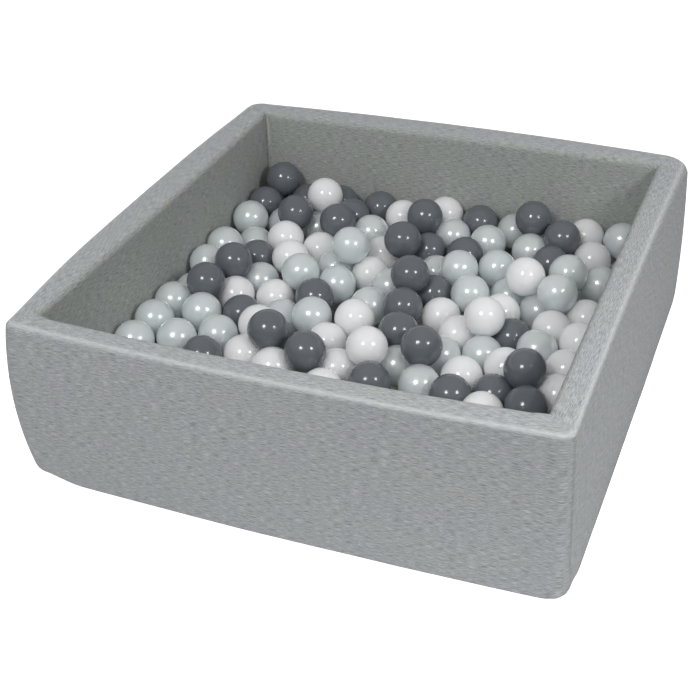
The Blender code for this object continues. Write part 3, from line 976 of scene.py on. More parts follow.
    def waves(self, points: np.ndarray, per_metre: float) -> np.ndarray:
        """Return smooth noise over the net, with so many swings in a metre."""
        shift = Vector((0, 0, 7.0 * self.shape.side.value))
        values = [noise.noise(Vector(point) * per_metre + shift) for point in points.reshape(-1, 3)]
        return np.array(values).reshape(points.shape[:2])

    def gathers(self, stations: list[Station], net: Net) -> np.ndarray:
        """Return the gathers beside the inner corners, as distances out along the normals."""
        drop = self.sizes.height - net.points[..., 2]
        from_seam = np.array([station.from_seam for station in stations])[:, None] / MM
        pucker = np.array([station.corner.pucker for station in stations])[:, None]
        folds = sum(
            share * np.exp(-(((from_seam - place) / width) ** 2))
            for place, width, share in self.gather_folds_mm
        )
        return -pucker * smooth_band(drop, *self.gather_band) * folds

    def normals(self, net: Net) -> np.ndarray:
        """Return the outward normals, which at both ends are those that the next panel has."""
        normals = net_normals(net.points)
        stations = self.stations()
        for row, side in ((0, -1), (-1, 1)):
            station, across = stations[row], net.across[row][:, None]
            diagonal = np.array((side, -1, 0)) / math.sqrt(2)
            out = np.array(station.way) * (1 - across) + diagonal * across
            tangent = np.gradient(net.points[row], axis=0)
            inward = np.array((station.inner - station.outer).normalized())
            deep = (tangent * inward).sum(axis=1, keepdims=True)
            normal = out * tangent[:, 2:] + np.array((0, 0, 1)) * deep
            normals[row] = normal / np.linalg.norm(normal, axis=1, keepdims=True)
        return normals

    def build(self, name: str) -> bpy.types.Object:
        """Return the panel as a cloth object, with its seam allowances and its thickness."""
        net = self.net(self.sizes.floor_top + self.floor_room)
        normals = self.normals(net)
        net.points = net.points + normals * self.relief(net)[..., None]
        tucks = [net.points[row] - normals[row] * self.tuck_depth for row in (0, -1)]
        net.points = np.concatenate([tucks[:1], net.points, tucks[1:]])
        net.points[..., 2] = np.maximum(net.points[..., 2], 0.0)
        hidden = [net.cloth[row] + (sign * self.tuck_depth, 0.0) for row, sign in ((0, -1), (-1, 1))]
        net.cloth = np.concatenate([hidden[:1], net.cloth, hidden[1:]])
        net.inside = np.concatenate([net.inside[:1], net.inside, net.inside[-1:]])
        net.edge_highlight = np.concatenate([net.edge_highlight[:1], net.edge_highlight, net.edge_highlight[-1:]])
        net.points = turned_points(net.points, self.shape.side.turn)
        piece = net_object(name, net)
        thicken(piece, self.sizes.fabric)
        smooth(piece, 60.0)
        return piece

    def build_solid(self, name: str) -> bpy.types.Object:
        """Return the closed body inside the panel."""
        net = self.net(self.inset)
        net.points = turned_points(net.points, self.shape.side.turn)
        piece = net_object(name, net, closed=True)
        smooth(piece, 60.0)
        return piece

    def flat_size(self) -> tuple[float, float, float]:
        """Return the width, the length and the area of the cut that makes the panel."""
        net = self.net(self.sizes.floor_top)
        width, length = (float(np.ptp(net.cloth[..., axis])) for axis in (0, 1))
        return width, length, min(net_area(net.points), width * length)


def smooth_steps(shares: np.ndarray) -> np.ndarray:
    """Return a smooth step from 0 to 1 for each share, held to that range."""
    held = np.clip(shares, 0.0, 1.0)
    return held * held * (3 - 2 * held)


def smooth_band(values: np.ndarray, start: float, rise: float, end: float, fall: float) -> np.ndarray:
    """Return 1 between a start and an end, with a smooth rise from one and a fall from the other."""
    return smooth_steps((values - start) / rise) * (1 - smooth_steps((values - end) / fall))


def turned_points(points: np.ndarray, turn: Matrix) -> np.ndarray:
    """Return a net's points after a turn."""
    return points @ np.array(turn.to_3x3()).T


def net_normals(points: np.ndarray) -> np.ndarray:
    """Return the outward normals of a net that runs along X and then up the outside."""
    along = np.gradient(points, axis=0)
    up = np.gradient(points, axis=1)
    across = np.cross(along, up)
    return across / np.maximum(np.linalg.norm(across, axis=2, keepdims=True), 1e-12)


def net_area(points: np.ndarray) -> float:
    """Return the area of a net."""
    first = points[1:, 1:] - points[:-1, :-1]
    second = points[1:, :-1] - points[:-1, 1:]
    return float(np.linalg.norm(np.cross(first, second), axis=2).sum() / 2)


def net_object(name: str, net: Net, closed: bool = False) -> bpy.types.Object:
    """Turn a net into an object with its map and the attributes that the jersey reads.

    Args:
        name: The piece's name.
        net: The net of points.
        closed: Whether its columns close on themselves, with a cap at each end.

    Returns:
        The object, one layer thick unless it is closed.
    """
    rows, columns = net.points.shape[:2]
    steps = columns if closed else columns - 1
    faces = []
    for i, j in product(range(rows - 1), range(steps)):
        corners = ((i, j), (i + 1, j), (i + 1, j + 1), (i, j + 1))
        faces.append(tuple(row * columns + column % columns for row, column in corners))
    if closed:
        last = (rows - 1) * columns
        faces += [tuple(range(columns)), tuple(last + j for j in reversed(range(columns)))]
    mesh = bpy.data.meshes.new(name)
    mesh.from_pydata([tuple(point) for point in net.points.reshape(-1, 3)], [], faces)
    layer = mesh.uv_layers.new(name="Cloth")
    corners = np.zeros(len(mesh.loops), np.int32)
    mesh.loops.foreach_get("vertex_index", corners)
    layer.uv.foreach_set("vector", net.cloth.reshape(-1, 2)[corners].astype(np.float32).ravel())
    for label, values in (("inside", net.inside), ("edge_highlight", net.edge_highlight)):
        attribute = mesh.attributes.new(label, "FLOAT", "POINT")
        attribute.data.foreach_set("value", values.astype(np.float32).ravel())
    piece = bpy.data.objects.new(name, mesh)
    bpy.context.scene.collection.objects.link(piece)
    return piece


def thicken(piece: bpy.types.Object, thickness: float, offset: float = -1) -> None:
    """Give a sheet its thickness: away from its normals (-1) or on both sides of it (0)."""
    shell = piece.modifiers.new("cloth", "SOLIDIFY")
    shell.thickness = thickness
    shell.offset = offset
    apply_modifiers(piece)


@dataclass
class Cover:
    """The sewn jersey cover: four wall panels, the sheet on the floor and the underside."""

    sizes: PitSizes
    jersey: bpy.types.Material
    foam: bpy.types.Material
    foam_inset: float = 0.0035
    foam_seam_gap: float = 0.0024
    seam_room: float = 0.6 * MM
    slot_half_width: float = 8 * MM
    pad_edge: float = 1.5 * MM
    weld_distance: float = 0.01 * MM
    floor_points: int = 61
    dip_height: float = 0.2 * MM
    dips_per_metre: float = 14.0

    def shapes(self) -> tuple[WallShape, ...]:
        """Return the shapes of the four walls, which share their corners."""
        front_left = Corner(
            swell=-0.0095, lean=-0.005, room=0.005, drop=-0.003, crown=0.0165, edge_radius=0.0095,
            plan_radius=0.020, toe_radius=0.032, toe_reach=0.090, rim_seam=0.0002,
        )
        front_right = Corner(
            swell=0.0015, lean=0.002, room=0.002, drop=0.003, crown=-0.001, edge_radius=0.006,
            plan_radius=0.022, toe_radius=0.023, toe_reach=0.054, toe_shift=0.018, rim_seam=0.0002,
        )
        back_right = Corner(
            swell=0.002, lean=-0.003, drop=0.008, crown=0.004, edge_radius=0.0155,
            plan_radius=0.043, rim_seam=0.0009,
        )
        back_left = Corner(
            lean=0.006, room=-0.007, drop=-0.003, edge_radius=0.006,
            plan_radius=0.033, toe_radius=0.024, rim_seam=0.0006, pucker=0.003,
        )
        front = Section(
            swell=-0.002, lean=0.002, room=0.008, drop=0.006, crown=0.0035,
            edge_radius=0.0065, foot_radius=0.004,
        )
        right = Section(
            swell=-0.003, lean=0.005, room=0.002, drop=-0.001, crown=0.004,
            edge_radius=0.009, foot_radius=0.010,
        )
        back = Section(swell=0.0065, room=-0.0025, edge_radius=0.011)
        left = Section(swell=0.018, room=0.006, drop=0.008, edge_radius=0.011)
        return (
            WallShape(Side.FRONT, front_left, front_right, front),
            WallShape(Side.RIGHT, front_right, back_right, right),
            WallShape(Side.BACK, back_right, back_left, back),
            WallShape(Side.LEFT, back_left, front_left, left, wave=0.0016),
        )

    def build(self) -> None:
        """Build the panels, the sheets and the foam inside them."""
        for shape in self.shapes():
            self.build_wall(shape)
        self.build_pad()
        self.build_floor()
        self.build_base()

    def build_wall(self, shape: WallShape) -> None:
        """Build one wall's panel and its foam board."""
        label = shape.side.label
        foam = Panel(self.sizes, shape, self.foam_inset, self.foam_seam_gap)
        board = foam.build_solid(f"foam_board_{label}")
        dress(board, self.foam, "pit")
        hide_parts(f"foam_wall_{label}")
        panel = Panel(self.sizes, shape)
        piece = panel.build(f"jersey_panel_{label}")
        width, length, area = panel.flat_size()
        dress(piece, self.jersey, "pit")
        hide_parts(f"cover_{label}")
        LOG.info("%s: flat %.3f x %.3f m, %.3f square metres", piece.name, width, length, area)

    def build_pad(self) -> None:
        """Build the foam floor pad, which has a groove for the zip under it."""
        pad = copied(bpy.data.objects["foam_floor"], "foam_floor_pad", Matrix.Identity(4))
        select_only([pad])
        bpy.ops.object.mode_set(mode="EDIT")
        bpy.ops.mesh.select_all(action="SELECT")
        bpy.ops.mesh.remove_doubles(threshold=self.weld_distance)
        bpy.ops.mesh.dissolve_limited(angle_limit=math.radians(1))
        bpy.ops.mesh.bevel(offset=self.pad_edge, segments=2, affect="EDGES")
        bpy.ops.object.mode_set(mode="OBJECT")
        smooth(pad)
        dress(pad, self.foam, "pit")
        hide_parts("foam_floor")

    def build_floor(self) -> None:
        """Build the sheet that lies on the pad, a little slack between its seams."""
        reach = self.sizes.inner + self.sizes.fabric
        places = np.linspace(-reach, reach, self.floor_points)
        top = self.sizes.floor_top
        points = np.array([[(x, y, top - self.dip(x, y)) for y in places] for x in places])
        flat = np.ones(points.shape[:2])
        net = Net(points, points[..., :2] + reach, flat, flat, np.zeros_like(flat))
        sheet = net_object("jersey_floor", net)
        thicken(sheet, self.sizes.fabric)
        smooth(sheet)
        dress(sheet, self.jersey, "pit")
        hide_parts("cover_floor")

    def dip(self, x: float, y: float) -> float:
        """Return how far the floor sheet sinks between its seams."""
        place = Vector((x * self.dips_per_metre, y * self.dips_per_metre, 5.0))
        return self.dip_height * (1 + noise.noise(place))

    def base_outline(self) -> list[Vector]:
        """Return the outline of the underside sheet, which lies inside the turned-under hems."""
        outline = []
        for shape in self.shapes():
            panel = Panel(self.sizes, shape)
            for station in panel.stations()[1:]:
                depth = panel.tread(station) + self.sizes.hem + self.seam_room
                plan = station.outer.lerp(station.inner, depth / station.thickness)
                outline.append(shape.side.turn @ plan)
        return outline

    def zip_slot(self) -> list[Vector]:
        """Return the corners of the slot over the zip."""
        low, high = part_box("zip_tape_front")[0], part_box("zip_tape_back")[1]
        middle, half_length, half_width = (low.y + high.y) / 2, high.x - 2 * MM, self.slot_half_width
        signs = ((-1, -1), (1, -1), (1, 1), (-1, 1))
        return [Vector((x * half_length, middle + y * half_width, 0)) for x, y in signs]

    def build_base(self) -> None:
        """Build the underside sheet, with its slot for the zip."""
        outline = self.base_outline()
        edit = bmesh.new()
        edges = []
        for loop in (outline, self.zip_slot()):
            corners = [edit.verts.new(point) for point in loop]
            edges += [edit.edges.new((corners[i - 1], corners[i])) for i in range(len(corners))]
        bmesh.ops.triangle_fill(edit, use_beauty=True, edges=edges)
        bmesh.ops.recalc_face_normals(edit, faces=edit.faces)
        if sum(face.normal.z for face in edit.faces) > 0:
            bmesh.ops.reverse_faces(edit, faces=edit.faces)
        mesh = bpy.data.meshes.new("jersey_base")
        edit.to_mesh(mesh)
        edit.free()
        layer = mesh.uv_layers.new(name="Cloth")
        for loop in mesh.loops:
            place = mesh.vertices[loop.vertex_index].co
            layer.uv[loop.index].vector = (place.x + self.sizes.half, place.y + self.sizes.half)
        sheet = bpy.data.objects.new("jersey_base", mesh)
        bpy.context.scene.collection.objects.link(sheet)
        thicken(sheet, self.sizes.fabric)
        dress(sheet, self.jersey, "pit")
        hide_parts("cover_base")


# The zip.


@dataclass
class Zip:
    """The zip in the underside: two tapes with their teeth and stitches, stops, slider, pull.

    A reach is a distance from the zip's middle line.

    Args:
        tape: The finish of the tapes.
        metal: The finish of the teeth, the stops, the slider and the pull.
        thread: The finish of the stitches.
        flange_mm: A tape's section inside the cover, as reach and rise above its underside.
        strip_mm: Its section on from there, up a riser and in to the teeth, as reach and height.
        tape_points: The points along a tape.
        tape_thickness: The thickness of a tape.
        tooth_pitch: The distance from one tooth of a row to the next.
        tooth_length: The length of a tooth along the zip.
        tooth_reach: The reach of a tooth's head and of its root.
        tooth_heights: The heights of a tooth's underside and of its top.
        tooth_margin: The length at each end of a tape without teeth.
        stitch_pitch: The distance from one stitch of a row to the next.
        stitch_length: The length of a stitch.
        stitch_radius: The radius of the thread.
        stitch_height: The height of a stitch's middle.
        stitch_reach: The reach of each row of stitches.
        stitch_margin: The length at each end of a tape without stitches.
        metal_edge: The width of the soft edges of the teeth, the stops and the tab.
        crimp: The width and the depth of the step in a stop's top.
        plate: The thickness of the slider's plates.
        narrow_share: The width of the slider's narrow end, in widths of the slider.
        half_wedge: Half the length and half the width of the wedge between the plates.
        half_lug: Half the length and half the width of a lug.
        lug_place: The distance along the zip from the hinge to a lug's middle.
        lug_overlap: How far the lugs go into the lower plate.
        pull_room: The room between the pull and the lower plate.
        bridge: The thickness of the bridge under the lugs.
        slider_edges: The widths of the soft edges of plates, wedge, lugs and bridge.
        window: The width of the tab's rim and the depth of the window inside it.
        arm_length: The length of the pull's arms.
        arm_overlap: How far an arm goes into the tab, and past the hinge.
        arm_reach: The reach of an arm's near side and of its far side.
        arm_edge: The width of an arm's soft edges.
        pin_radius: The radius of the pull's pin.
        pin_length: The length of the pull's pin.
        pin_edge: The width of the pin's soft edges.
    """

    tape: bpy.types.Material
    metal: bpy.types.Material
    thread: bpy.types.Material
    flange_mm: tuple[tuple[float, float], ...] = ((16.0, 0.4), (9.4, 0.4), (8.8, 0.7))
    strip_mm: tuple[tuple[float, float], ...] = ((8.7, 4.5), (8.2, 5.0), (2.0, 5.0))
    tape_points: int = 134
    tape_thickness: float = 0.6 * MM
    tooth_pitch: float = 2.5 * MM
    tooth_length: float = 1.5 * MM
    tooth_reach: tuple[float, float] = (0.7 * MM, 2.8 * MM)
    tooth_heights: tuple[float, float] = (4.1 * MM, 5.9 * MM)
    tooth_margin: float = 12 * MM
    stitch_pitch: float = 3.2 * MM
    stitch_length: float = 2.4 * MM
    stitch_radius: float = 0.22 * MM
    stitch_height: float = 0.198 * MM
    stitch_reach: tuple[float, float] = (10.5 * MM, 14.0 * MM)
    stitch_margin: float = 2 * MM
    metal_edge: float = 0.25 * MM
    crimp: tuple[float, float] = (0.4 * MM, 0.2 * MM)
    plate: float = 0.9 * MM
    narrow_share: float = 0.72
    half_wedge: tuple[float, float] = (3 * MM, 0.3 * MM)
    half_lug: tuple[float, float] = (0.4 * MM, 0.8 * MM)
    lug_place: float = 1.2 * MM
    lug_overlap: float = 0.3 * MM
    pull_room: float = 0.7 * MM
    bridge: float = 0.4 * MM
    slider_edges: tuple[float, float, float, float] = (0.3 * MM, 0.1 * MM, 0.2 * MM, 0.15 * MM)
    window: tuple[float, float] = (1.1 * MM, 0.15 * MM)
    arm_length: float = 3 * MM
    arm_overlap: float = 0.5 * MM
    arm_reach: tuple[float, float] = (1.1 * MM, 2.1 * MM)
    arm_edge: float = 0.2 * MM
    pin_radius: float = 0.5 * MM
    pin_length: float = 3.2 * MM
    pin_edge: float = 0.08 * MM
    middle: float = field(init=False)

    def __post_init__(self) -> None:
        """Read the zip's middle line from the frame."""
        self.middle = (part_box("zip_tape_front")[0].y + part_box("zip_tape_back")[1].y) / 2

    def build(self) -> None:
        """Build all the pieces of the zip."""
        for label, way in (("front", -1), ("back", 1)):
            self.build_tape(label, way)
            self.build_teeth(label, way)
            self.build_stitches(label, way)
        self.build_stops()
        self.build_slider()
        self.build_pull()

    def build_tape(self, label: str, way: int) -> None:
        """Build one woven tape: a flange inside the cover, a riser and the strip with the teeth."""
        low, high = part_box(f"zip_tape_{label}")
        flange = [(reach * MM, low.z + rise * MM) for reach, rise in self.flange_mm]
        profile = flange + [(reach * MM, height * MM) for reach, height in self.strip_mm]
        places = np.linspace(low.x, high.x, self.tape_points)
        grid = np.array([[(x, self.middle + way * y, z) for y, z in profile] for x in places])
        lengths = np.cumsum([0.0, *(math.dist(a, b) for a, b in zip(profile, profile[1:]))])
        cloth = np.array([[(x - low.x, length) for length in lengths] for x in places])
        if way > 0:
            grid, cloth = grid[::-1], cloth[::-1]
        flat = np.zeros(grid.shape[:2])
        piece = net_object(f"zip_tape_cloth_{label}", Net(grid, cloth, flat, flat, flat))
        thicken(piece, self.tape_thickness, offset=0)
        smooth(piece)
        dress(piece, self.tape, "pit")
        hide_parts(f"zip_tape_{label}")

    def build_teeth(self, label: str, way: int) -> None:
        """Build one row of teeth, each a small post with a hooked head."""
        low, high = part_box(f"zip_tape_{label}")
        half = self.tooth_length / 2
        near, far = sorted(self.middle + way * reach for reach in self.tooth_reach)
        bottom, top = self.tooth_heights
        tooth = box_model("zip_tooth", (-half, near, bottom), (half, far, top), self.metal_edge)
        first, last = low.x + self.tooth_margin, high.x - self.tooth_margin
        count = int((last - first) / self.tooth_pitch)
        stagger = self.tooth_pitch / 2 if way > 0 else 0.0
        copies = []
        for i in range(count):
            x = first + self.tooth_pitch * (i + 0.5) + stagger
            if x + half < last:
                copies.append(copied(tooth, "zip_tooth_copy", Matrix.Translation((x, 0, 0))))
        bpy.data.objects.remove(tooth)
        row = join(copies, f"zip_teeth_{label}")
        dress(row, self.metal, "pit")
        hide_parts(f"zip_tape_{label}")
        LOG.info("%s: %d teeth", row.name, len(copies))

    def build_stitches(self, label: str, way: int) -> None:
        """Build the two rows of stitches that hold one tape to the underside sheet."""
        low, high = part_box(f"zip_tape_{label}")
        deselect_all()
        bpy.ops.mesh.primitive_cylinder_add(
            vertices=6, radius=self.stitch_radius, depth=self.stitch_length, rotation=(0, math.pi / 2, 0)
        )
        stitch = bpy.context.object
        bpy.ops.object.transform_apply(location=True, rotation=True, scale=True)
        bevel_all(stitch, self.stitch_radius / 2)
        first, last = low.x + self.stitch_margin, high.x - self.stitch_margin
        count = int((last - first) / self.stitch_pitch)
        copies = []
        for reach, i in product(self.stitch_reach, range(count)):
            x = first + self.stitch_pitch * (i + 0.5)
            place = Matrix.Translation((x, self.middle + way * reach, self.stitch_height))
            copies.append(copied(stitch, "zip_stitch_copy", place))
        bpy.data.objects.remove(stitch)
        row = join(copies, f"zip_stitches_{label}")
        dress(row, self.thread, "pit")

    def build_stops(self) -> None:
        """Build the two end stops, each a crimped block over the last teeth."""
        for label in ("left", "right"):
            low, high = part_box(f"zip_stop_{label}")
            stop = box_model(f"zip_end_stop_{label}", low, high, self.metal_edge)
            self.sink(stop, (1,), self.crimp)
            smooth(stop)
            dress(stop, self.metal, "pit")
            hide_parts(f"zip_stop_{label}")

    def sink(self, piece: bpy.types.Object, ways: tuple[int, ...], rim: tuple[float, float]) -> None:
        """Sink the large flat faces of a piece inside a rim.

        Args:
            piece: The piece.
            ways: Which faces: 1 for its top, -1 for its underside.
            rim: The width of the rim and the depth inside it.
        """
        width, depth = rim
        select_only([piece])
        bpy.ops.object.mode_set(mode="EDIT")
        bpy.ops.mesh.select_mode(type="FACE")
        for way in ways:
            bpy.ops.mesh.select_all(action="DESELECT")
            edit = bmesh.from_edit_mesh(piece.data)
            least = max(face.calc_area() for face in edit.faces) / 4
            for face in edit.faces:
                face.select_set(face.normal.z * way > 0.99 and face.calc_area() > least)
            bmesh.update_edit_mesh(piece.data)
            bpy.ops.mesh.inset(thickness=width, depth=-depth)
        bpy.ops.object.mode_set(mode="OBJECT")

    def block(
        self, name: str, x: float, half: tuple[float, float], heights: tuple[float, float], edge: float
    ) -> bpy.types.Object:
        """Model a block on the zip's middle line.

        Args:
            name: The name of the block.
            x: The place of its middle along the zip.
            half: Half its length and half its width.
            heights: The heights of its underside and of its top.
            edge: The width of its soft edges.

        Returns:
            The block.
        """
        low = (x - half[0], self.middle - half[1], heights[0])
        high = (x + half[0], self.middle + half[1], heights[1])
        return box_model(name, low, high, edge)

    def build_slider(self) -> None:
        """Build the slider: two flared plates, the wedge between them and the lug for the pull."""
        low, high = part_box("zip_slider")
        middle_x = (low.x + high.x) / 2
        lug_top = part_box("zip_pull")[1].z + self.pull_room
        half_length, half_width = self.half_lug
        plate_edge, wedge_edge, lug_edge, bridge_edge = self.slider_edges
        plates = []
        for name, z in (("slider_lower_plate", lug_top), ("slider_upper_plate", high.z - self.plate)):
            plate = box_model(name, (low.x, low.y, z), (high.x, high.y, z + self.plate), plate_edge)
            select_only([plate])
            bpy.ops.object.mode_set(mode="EDIT")
            bpy.ops.mesh.select_mode(type="VERT")
            bpy.ops.mesh.select_all(action="DESELECT")
            edit = bmesh.from_edit_mesh(plate.data)
            for vertex in edit.verts:
                vertex.select_set(vertex.co.x < middle_x - self.half_wedge[0])
            bmesh.update_edit_mesh(plate.data)
            bpy.ops.transform.resize(value=(1, self.narrow_share, 1))
            bpy.ops.object.mode_set(mode="OBJECT")
            plates.append(plate)
        between = (lug_top + self.plate / 2, high.z - self.plate / 2)
        wedge = self.block("slider_wedge", middle_x, self.half_wedge, between, wedge_edge)
        upright = (low.z, lug_top + self.lug_overlap)
        lugs = [
            self.block("slider_lug", middle_x + way * self.lug_place, self.half_lug, upright, lug_edge)
            for way in (-1, 1)
        ]
        half_bridge = (self.lug_place + half_length, half_width)
        under = (low.z, low.z + self.bridge)
        bridge = self.block("slider_bridge", middle_x, half_bridge, under, bridge_edge)
        slider = join([*plates, wedge, *lugs, bridge], "zip_slider_casting")
        smooth(slider)
        dress(slider, self.metal, "slider")
        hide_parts("zip_slider")

    def build_pull(self) -> None:
        """Build the pull: a tab with a window, two arms and the pin that hangs in the lug."""
        low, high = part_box("zip_pull")
        slider_low, slider_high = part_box("zip_slider")
        hinge_x = (slider_low.x + slider_high.x) / 2
        tab_end = hinge_x - self.arm_length
        tab = box_model("pull_tab", low, (tab_end, high.y, high.z), self.metal_edge)
        self.sink(tab, (1, -1), self.window)
        arms = []
        for way in (-1, 1):
            near, far = sorted(self.middle + way * reach for reach in self.arm_reach)
            start = (tab_end - self.arm_overlap, near, low.z)
            end = (hinge_x + self.arm_overlap, far, high.z)
            arms.append(box_model("pull_arm", start, end, self.arm_edge))
        deselect_all()
        bpy.ops.mesh.primitive_cylinder_add(
            vertices=16,
            radius=self.pin_radius,
            depth=self.pin_length,
            location=(hinge_x, self.middle, (low.z + high.z) / 2),
            rotation=(math.pi / 2, 0, 0),
        )
        pin = bpy.context.object
        bevel_all(pin, self.pin_edge)
        pull = join([tab, *arms, pin], "zip_pull_casting")
        smooth(pull)
        dress(pull, self.metal, "pull")
        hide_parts("zip_pull")


# The balls.


class Colour(Enum):
    """A colour of ball, with its material slot."""

    DARK = "dark"
    WHITE = "white"
    PEARL = "pearl"

    @property
    def slot(self) -> str:
        """Return the record's material slot for this colour."""
        return f"ball_{self.value}"


class Tier(Enum):
    """How high a ball lies above the lower layer, in shares of its radius, and if it is loose."""

    DEEP = (0.29, False)
    NESTED = (0.29, True)
    SURFACE = (0.66, False)
    TOP = (1.49, True)

    def __init__(self, share: float, loose: bool) -> None:
        """Keep the height's share, and whether balls of this tier have nodes of their own."""
        self.share = share
        self.loose = loose


@dataclass(frozen=True)
class Viewpoint:
    """The pinhole view that the photograph was taken from, with the pit at the origin."""

    place: tuple[float, float, float] = (0.729, -1.796, 1.361)
    focal_pixels: float = 1303.0
    centre_pixels: tuple[float, float] = (381.1, 290.6)
    azimuth: float = math.radians(21.99)
    elevation: float = math.radians(31.29)
    roll: float = math.radians(-2.48)

    def axes(self) -> tuple[Vector, Vector, Vector]:
        """Return the directions right, up and ahead in the view."""
        level, drop = math.cos(self.elevation), math.sin(self.elevation)
        ahead = Vector((-math.sin(self.azimuth) * level, math.cos(self.azimuth) * level, -drop))
        level_right = ahead.cross(Vector((0, 0, 1))).normalized()
        level_up = level_right.cross(ahead)
        right = level_right * math.cos(self.roll) + level_up * math.sin(self.roll)
        up = level_up * math.cos(self.roll) - level_right * math.sin(self.roll)
        return right, up, ahead

    def ray(self, pixel: tuple[float, float]) -> Vector:
        """Return the unit direction through a pixel."""
        right, up, ahead = self.axes()
        across = (pixel[0] - self.centre_pixels[0]) / self.focal_pixels
        down = (pixel[1] - self.centre_pixels[1]) / self.focal_pixels
        return (ahead + right * across - up * down).normalized()


@dataclass
class Ball:
    """One ball of the upper layers: its colour, its tier, its centre and its line of sight."""

    colour: Colour
    tier: Tier
    centre: list[float]
    ray: Vector | None = None
    loose: bool = field(init=False)
    start_height: float = field(init=False)

    def __post_init__(self) -> None:
        """Note the height that the ball starts at and whether it lies loose."""
        self.start_height = self.centre[2]
        self.loose = self.tier.loose


@dataclass
class BallFill:
    """All the balls in the pit.

    The seen balls are placed by the pixels of their centres in the photograph and settled by
    the rules that the CAD follows, so that they lie where its domes and loose balls lie.
    """

    sizes: PitSizes
    viewpoint: Viewpoint
    finishes: dict[Colour, bpy.types.Material]
    space: float = 1.0 * MM
    wall_clearance: float = 0.4 * MM
    seat_depth: float = 4.0 * MM
    lowest_share: float = 0.11
    joined_highest_share: float = 0.80
    loose_highest_share: float = 2.70
    hidden_share: float = 0.45
    hidden_reach_share: float = 0.86
    settle_rounds: int = 400
    guided_rounds: int = 300
    neighbour_rounds: int = 20
    ray_pull_share: float = 0.15
    tier_pull_share: float = 0.03
    settled_share: float = 0.001
    buried_rise: float = 0.5 * MM
    buried_rounds: int = 260
    buried_overlap: float = 0.5 * MM
    buried_slack: float = 0.6 * MM
    seam_width: float = 0.9 * MM
    seam_height: float = 0.10 * MM
    mark_rings: float = 1.2
    mark_depth: float = 0.25 * MM
    ball_faces: tuple[int, int] = (44, 28)
    buried_faces: tuple[int, int] = (24, 14)
    buried_shares: tuple[tuple[Colour, float], ...] = (
        (Colour.PEARL, 0.40), (Colour.WHITE, 0.78), (Colour.DARK, 1.0),
    )
    seed: int = 11
    diameter: float = field(init=False)
    radius: float = field(init=False)
    bed_top: float = field(init=False)

    def __post_init__(self) -> None:
        """Read the balls' diameter from a loose ball, and set the height of the lower layer's top."""
        low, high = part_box("dark_ball_01")
        self.diameter = high.z - low.z
        self.radius = self.diameter / 2
        self.bed_top = self.sizes.floor_top + self.diameter

    def seen_pixels(self) -> dict[tuple[Colour, Tier], list[tuple[float, float]]]:
        """Return the centres of the balls in the photograph, in its pixels."""
        return {
            (Colour.DARK, Tier.TOP): [
                (284, 179), (293, 212), (338, 218), (425, 213), (402, 236), (533, 216), (562, 234),
                (234, 262), (409, 272), (201, 281), (398, 322), (266, 331), (422, 345), (304, 347),
                (526, 368),
            ],
            (Colour.DARK, Tier.SURFACE): [
                (262, 201), (379, 207), (479, 223), (408, 304), (493, 393), (524, 406),
            ],
            (Colour.DARK, Tier.DEEP): [
                (306, 198), (341, 200), (358, 212), (431, 250), (550, 263), (260, 256), (435, 292),
                (312, 297), (240, 313), (511, 337), (369, 379), (452, 394),
            ],
            (Colour.DARK, Tier.NESTED): [(465, 254), (205, 354)],
            (Colour.WHITE, Tier.TOP): [
                (325, 192), (527, 277), (354, 310), (484, 317), (367, 346),
            ],
            (Colour.WHITE, Tier.SURFACE): [
                (280, 233), (310, 249), (369, 276), (238, 294), (584, 319), (551, 330), (576, 343),
                (243, 351), (464, 378),
            ],
            (Colour.WHITE, Tier.DEEP): [
                (402, 215), (448, 212), (593, 235), (383, 253), (592, 260), (286, 258), (275, 299),
                (507, 315), (256, 320), (440, 318), (326, 341), (458, 335), (563, 369), (272, 362),
                (337, 367), (498, 369), (555, 392), (483, 404),
            ],
            (Colour.PEARL, Tier.TOP): [
                (350, 242), (458, 269), (497, 266), (569, 269), (298, 272), (558, 294),
            ],
            (Colour.PEARL, Tier.SURFACE): [
                (616, 237), (244, 225), (231, 243), (452, 236), (487, 244), (531, 252), (207, 258),
                (599, 286), (335, 285), (466, 295), (175, 297), (153, 318), (206, 311), (307, 313),
                (180, 338), (220, 334), (482, 355), (421, 384),
            ],
            (Colour.PEARL, Tier.DEEP): [
                (514, 230), (271, 217), (257, 235), (316, 226), (370, 231), (336, 266), (437, 273),
                (264, 279), (389, 285), (508, 298), (370, 306), (533, 313), (284, 315), (134, 336),
                (540, 349), (444, 355), (396, 366),
            ],
        }

    def seen(self) -> list[Ball]:
        """Return the seen balls, each on its line of sight."""
        eye = self.viewpoint.place
        balls = []
        for (colour, tier), pixels in self.seen_pixels().items():
            height = self.bed_top + tier.share * self.radius
            for pixel in pixels:
                ray = self.viewpoint.ray(pixel)
                reach = (height - eye[2]) / ray.z
                balls.append(Ball(colour, tier, [eye[axis] + ray[axis] * reach for axis in range(3)], ray))
        return balls

    def limit(self) -> float:
        """Return how far a ball's centre can be from the middle, along X or Y."""
        return self.sizes.inner - self.radius - self.wall_clearance

    def staggered(self, height: float, shift: int) -> list[tuple[int, int, list[float]]]:
        """Return a staggered layer of balls.

        Args:
            height: The height of their centres.
            shift: Whether the even rows (1) or the odd rows (0) lie half a ball over.

        Returns:
            The row, the column and the centre of each ball.
        """
        limit, pitch = self.limit(), self.diameter + self.space
        row_step = pitch * math.sqrt(3) / 2
        layer = []
        for row in range(int(2 * limit / row_step) + 1):
            start = -limit + ((row + shift) % 2) * pitch / 2
            for column in range(int((limit - start) / pitch) + 1):
                layer.append((row, column, [start + column * pitch, -limit + row * row_step, height]))
        return layer

